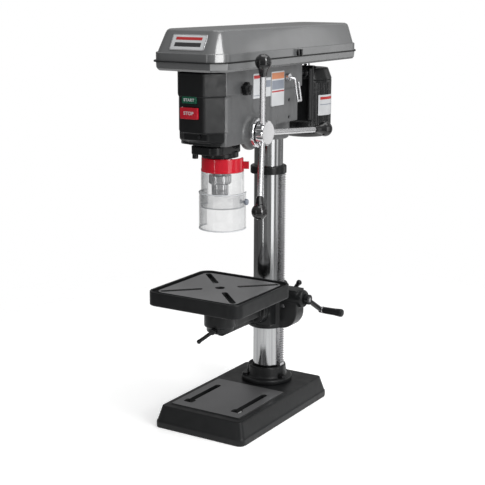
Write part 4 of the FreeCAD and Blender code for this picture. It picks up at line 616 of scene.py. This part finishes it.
def lid_mesh():
    """The lid's folded sheet with its hinge knuckles."""
    mesh = bevelled(both_sides(lid_rings(0), lid_rings(SHEET)), SHEET_BEND)
    profile = turned_ring(PIN_R, KNUCKLE_R, 2 * KNUCKLE, KNUCKLE_EDGE, KNUCKLE_EDGE)
    work = bmesh.new()
    work.from_mesh(mesh)
    for y in (-HINGE_Y, HINGE_Y):
        work.from_mesh(lathe(profile, Vector((HINGE_X, y - KNUCKLE, SEAM_Z)), Y, KNUCKLE_SIDES))
    work.to_mesh(mesh)
    work.free()
    return mesh


add_piece("lid_shell", lid_mesh(), COVER, "belt_cover_lid", ("belt_cover_lid",))

BEAD_SECTION = (                              # how far out of the cover, and the height
    (-3, 899.4), (2.5, 899.4), (4.5, 899.0), (6.0, 899.2), (6.8, 900.6), (6.0, 902.0), (4.5, 902.4),
    (2.5, 902.2), (0.4, 901.3), (-3, 901.2), (-3, 899.4),
)
BEAD_SIDE, BEAD_END_SHARE = 0.8, 0.5


def seam_plan(out, z):
    """The seam's rubber bead stands further out at the cover's two ends than along its sides."""
    return octagon(LID_HALF + min(out, BEAD_SIDE), LID_FLAT + out * BEAD_END_SHARE,
                   LID_FRONT - out, LID_BACK + out,
                   LID_FRONT + LID_NOSE - out, LID_BACK - LID_TAIL + out, z)


bead = build(*skin([seam_plan(out, z) for out, z in BEAD_SECTION], caps=False))
bead.shade_smooth()
add_piece("seam_bead", bead, PLASTIC, "belt_cover_pan")

NAME_X, NAME_Z = 4.0, 943.5
BAND_LEAN, WALL_TOP, WALL_LEAN = LID_LEVELS[0][3], LID_LEVELS[1][0], LID_LEVELS[1][3]
LEAN = Vector((0, WALL_LEAN - BAND_LEAN, WALL_TOP - LID_BAND)).normalized()      # up the lid's front wall
LID_FACE = (X, LEAN)
NAME_PARTS = (                                # name, up, out, size, thickness, material, slot, radius, soft
    ("name_plate", 0, -0.6, (93, 40), 1.8, PLATE, "aluminium", 4, 0.3),
    ("name_plate_field", 0, 1.0, (88, 35), 0.3, WHITE, "aluminium", 3, 0.1),
    ("name_plate_bar", 8, 1.25, (70, 7), 0.3, RED_PRINT, "red", 0.8, 0.1),
    ("name_plate_line", -5, 1.25, (70, 10), 0.3, DARK_PRINT, "black_plastic", 0.8, 0.1),
)


def on_lid_front(z, out):
    """A point on the lid's leaning front wall at height z, or out from it."""
    foot = Vector((NAME_X, LID_FRONT + BAND_LEAN, LID_BAND))
    return foot + LEAN * ((z - LID_BAND) / LEAN.z) + X.cross(LEAN) * out


for name, rise, out, size, thick, material, slot, radius, soft in NAME_PARTS:
    plate(name, LID_FACE, on_lid_front(NAME_Z + rise, out), size, thick, material, "belt_cover_lid",
          radius, soft)

# ------------------------------------------------------------------ plates on the head and motor
HEAD_HALF, HEAD_BAND = 64.0, 66.5
LABEL_SINK, LABEL_PROUD, LABEL_RADIUS, LABEL_SOFT = 0.4, 0.5, 1.5, 0.3
FIELD_AT, FIELD_THICK, FIELD_MARGIN, FIELD_RADIUS, FIELD_SOFT = 0.4, 0.25, 1.5, 0.8, 0.1
SIDE_LABELS = (          # name, y from and to, z from and to, and fields: material, share from and to, slot
    ("front_label", -187, -147, 808, 866,
     ((RED_PRINT, 0.8, 0.93, "red"), (GREY_PRINT, 0.1, 0.13, "aluminium"))),
    ("middle_label", -142, -107, 809, 854,
     ((GREY_PRINT, 0.5, 0.86, "aluminium"),)),
    ("rear_label", -103, -42, 783, 866,
     ((ORANGE_PRINT, 0.78, 0.96, "red"), (GREY_PRINT, 0.48, 0.74, "aluminium"),
      (RED_PRINT, 0.4, 0.44, "red"))),
)
MOTOR, MOTOR_R, BARREL_STEPS = (0.0, 194.0), 66.0, 24
MOTOR_LABEL_SINK = 1.0
MOTOR_LABELS = (         # name, start and end in degrees, z from and to, proud, material, slot
    ("motor_label", -33, 24, 737, 790, 0.5, WHITE, "aluminium"),
    ("motor_label_bar", -28, 19, 778, 785, 0.7, RED_PRINT, "red"),
    ("motor_label_line", -28, 19, 764, 766, 0.7, GREY_PRINT, "aluminium"),
)


def side_label(name, y0, y1, z0, z1, fields):
    """A blank generic plate on the head's right side, with coloured fields across it."""
    y, z, width, height = (y0 + y1) / 2, (z0 + z1) / 2, y1 - y0, z1 - z0
    thick = HEAD_BAND - HEAD_HALF + LABEL_SINK + LABEL_PROUD
    plate(name, RIGHT_FACE, (HEAD_HALF - LABEL_SINK, y, z), (width, height), thick, WHITE, "head_casting",
          LABEL_RADIUS, LABEL_SOFT)
    for k, (material, low, high, slot) in enumerate(fields):
        at = (HEAD_BAND + FIELD_AT, y, z0 + height * (low + high) / 2)
        size = (width - 2 * FIELD_MARGIN, height * (high - low))
        plate(f"{name}_field_{k}", RIGHT_FACE, at, size, FIELD_THICK, material, "head_casting",
              FIELD_RADIUS, FIELD_SOFT)


def motor_label(name, start, end, z0, z1, proud, material, slot):
    """Part of the blank rating plate wrapped on the motor's barrel."""
    inner, outer = MOTOR_R - MOTOR_LABEL_SINK, MOTOR_R + proud
    section = [(inner, z0), (outer, z0), (outer, z1), (inner, z1)]
    add_piece(name, sweep(section, MOTOR, start, end, BARREL_STEPS), material, "motor_housing")


for row in SIDE_LABELS:
    side_label(*row)
for row in MOTOR_LABELS:
    motor_label(*row)

# ------------------------------------------------------------------ switch
COVER_FRONT, BUTTON_X, WORD_PROUD = -347.0, -5.0, 0.25
START_AT, START_HEIGHT = (BUTTON_X, COVER_FRONT - 3.0, 814.5), 7
STOP_AT, STOP_HEIGHT = (BUTTON_X, COVER_FRONT - 5.0, 784.5), 8
lettering("start_word", "START", FRONT_FACE, START_AT, START_HEIGHT, WORD_PROUD, WHITE, "start_button")
lettering("stop_word", "STOP", FRONT_FACE, STOP_AT, STOP_HEIGHT, WORD_PROUD, WHITE, "stop_button")

# ------------------------------------------------------------------ drill guard
GUARD, GUARD_START, GUARD_STEPS = (4.0, -223.0), -192, 90
BAND_END, RIM_END = 24, 30                    # in degrees round the guard's axis
BAND_BEND = 0.4
BAND_SECTION = (                              # radius, z
    (44.5, 638.0), (50.6, 638.0), (51.4, 638.8), (51.4, 642.2), (50.4, 643.4), (50.2, 669.6),
    (49.2, 671.2), (46.0, 671.2), (44.5, 669.6),
)
RIM_LIP, RIM_EDGE, RIM_WALL, RIM_ALPHA = 0.9, 0.4, 2.6, 0.8
UPPER_R, LOWER_R = 51.4, 56.2
SHIELD_RIMS = (                               # name, node, radius, z from and to
    ("upper_shield_rim", "upper_shield", UPPER_R, 552.0, 554.5),
    ("lower_shield_top_rim", "lower_shield", LOWER_R, 585.6, 588.0),
    ("lower_shield_bottom_rim", "lower_shield", LOWER_R, 499.0, 501.6),
)
# The rims' light grey, more solid than the clear wall, is a painted highlight: it stands for the light
# caught in the clear plastic's edge. The thickened edge itself is real shape.
RIM_PAINTED_HIGHLIGHT = moulded("shield_rim", (0.72, 0.74, 0.76), rough=0.15, bump=0.0)
RIM_PAINTED_HIGHLIGHT.node_tree.nodes["Principled BSDF"].inputs["Alpha"].default_value = RIM_ALPHA


def shield_rim(name, node, outer, z0, z1):
    """A clear shield's thickened edge, standing out of its wall."""
    inner, flat, lip = outer - RIM_WALL, outer + RIM_LIP - RIM_EDGE, outer + RIM_LIP
    section = [(inner, z0), (flat, z0), (lip, z0 + RIM_EDGE), (lip, z1 - RIM_EDGE), (flat, z1), (inner, z1)]
    mesh = sweep(section, GUARD, GUARD_START, RIM_END, GUARD_STEPS)
    mesh.shade_smooth()
    add_piece(name, mesh, RIM_PAINTED_HIGHLIGHT, node)


band = sweep(BAND_SECTION, GUARD, GUARD_START, BAND_END, GUARD_STEPS)
add_piece("guard_band", bevelled(band, BAND_BEND), RED, "guard_carrier")
for row in SHIELD_RIMS:
    shield_rim(*row)

# ------------------------------------------------------------------ crank
CRANK_Z, CRANK_RADIUS, CRANK_ANGLE, GRIP_START = 286.0, 67.4, math.radians(-35), 135.0
WASHER_BORE, WASHER_R, WASHER_THICK, WASHER_EDGE, WASHER_FALL = 4.2, 9.6, 2.6, 0.4, 0.6
WASHER_OVERLAP, WASHER_SIDES = 1.6, 48
grip_at = Vector((GRIP_START - WASHER_OVERLAP, CRANK_RADIUS * math.cos(CRANK_ANGLE),
                  CRANK_Z + CRANK_RADIUS * math.sin(CRANK_ANGLE)))
washer = lathe(turned_ring(WASHER_BORE, WASHER_R, WASHER_THICK, WASHER_EDGE, WASHER_FALL), grip_at, X,
               WASHER_SIDES)
add_piece("grip_washer", washer, CHROME, "crank_arm")

# ------------------------------------------------------------------ depth scale
RING_R, RING_X, PINION_Y, PINION_Z = 35.5, (81.6, 87.0), -189.6, 731.0
MARKS, LONG_EVERY, SHORTER, MARK_HALF, MARK_SINK, MARK_PROUD = 60, 5, 2.2, 0.28, 0.4, 0.12
BOX_FACES = ((0, 1, 3, 2), (4, 5, 7, 6), (0, 1, 5, 4), (2, 3, 7, 6), (0, 2, 6, 4), (1, 3, 7, 5))


def depth_marks():
    """The scale's lines round the depth ring, every fifth one longer."""
    points, faces = [], []
    for k in range(MARKS):
        a = math.tau * k / MARKS
        out = Vector((0, math.cos(a), math.sin(a)))
        side = Vector((0, -math.sin(a), math.cos(a))) * MARK_HALF
        start = RING_X[0] if k % LONG_EVERY == 0 else RING_X[0] + SHORTER
        first = len(points)
        for x in (start, RING_X[1]):
            for depth in (-MARK_SINK, MARK_PROUD):
                centre = Vector((x, PINION_Y, PINION_Z)) + out * (RING_R + depth)
                points += [centre - side, centre + side]
        faces += [tuple(first + i for i in face) for face in BOX_FACES]
    return build(points, faces)


add_piece("depth_marks", depth_marks(), GLOSS_BLACK, "depth_ring")
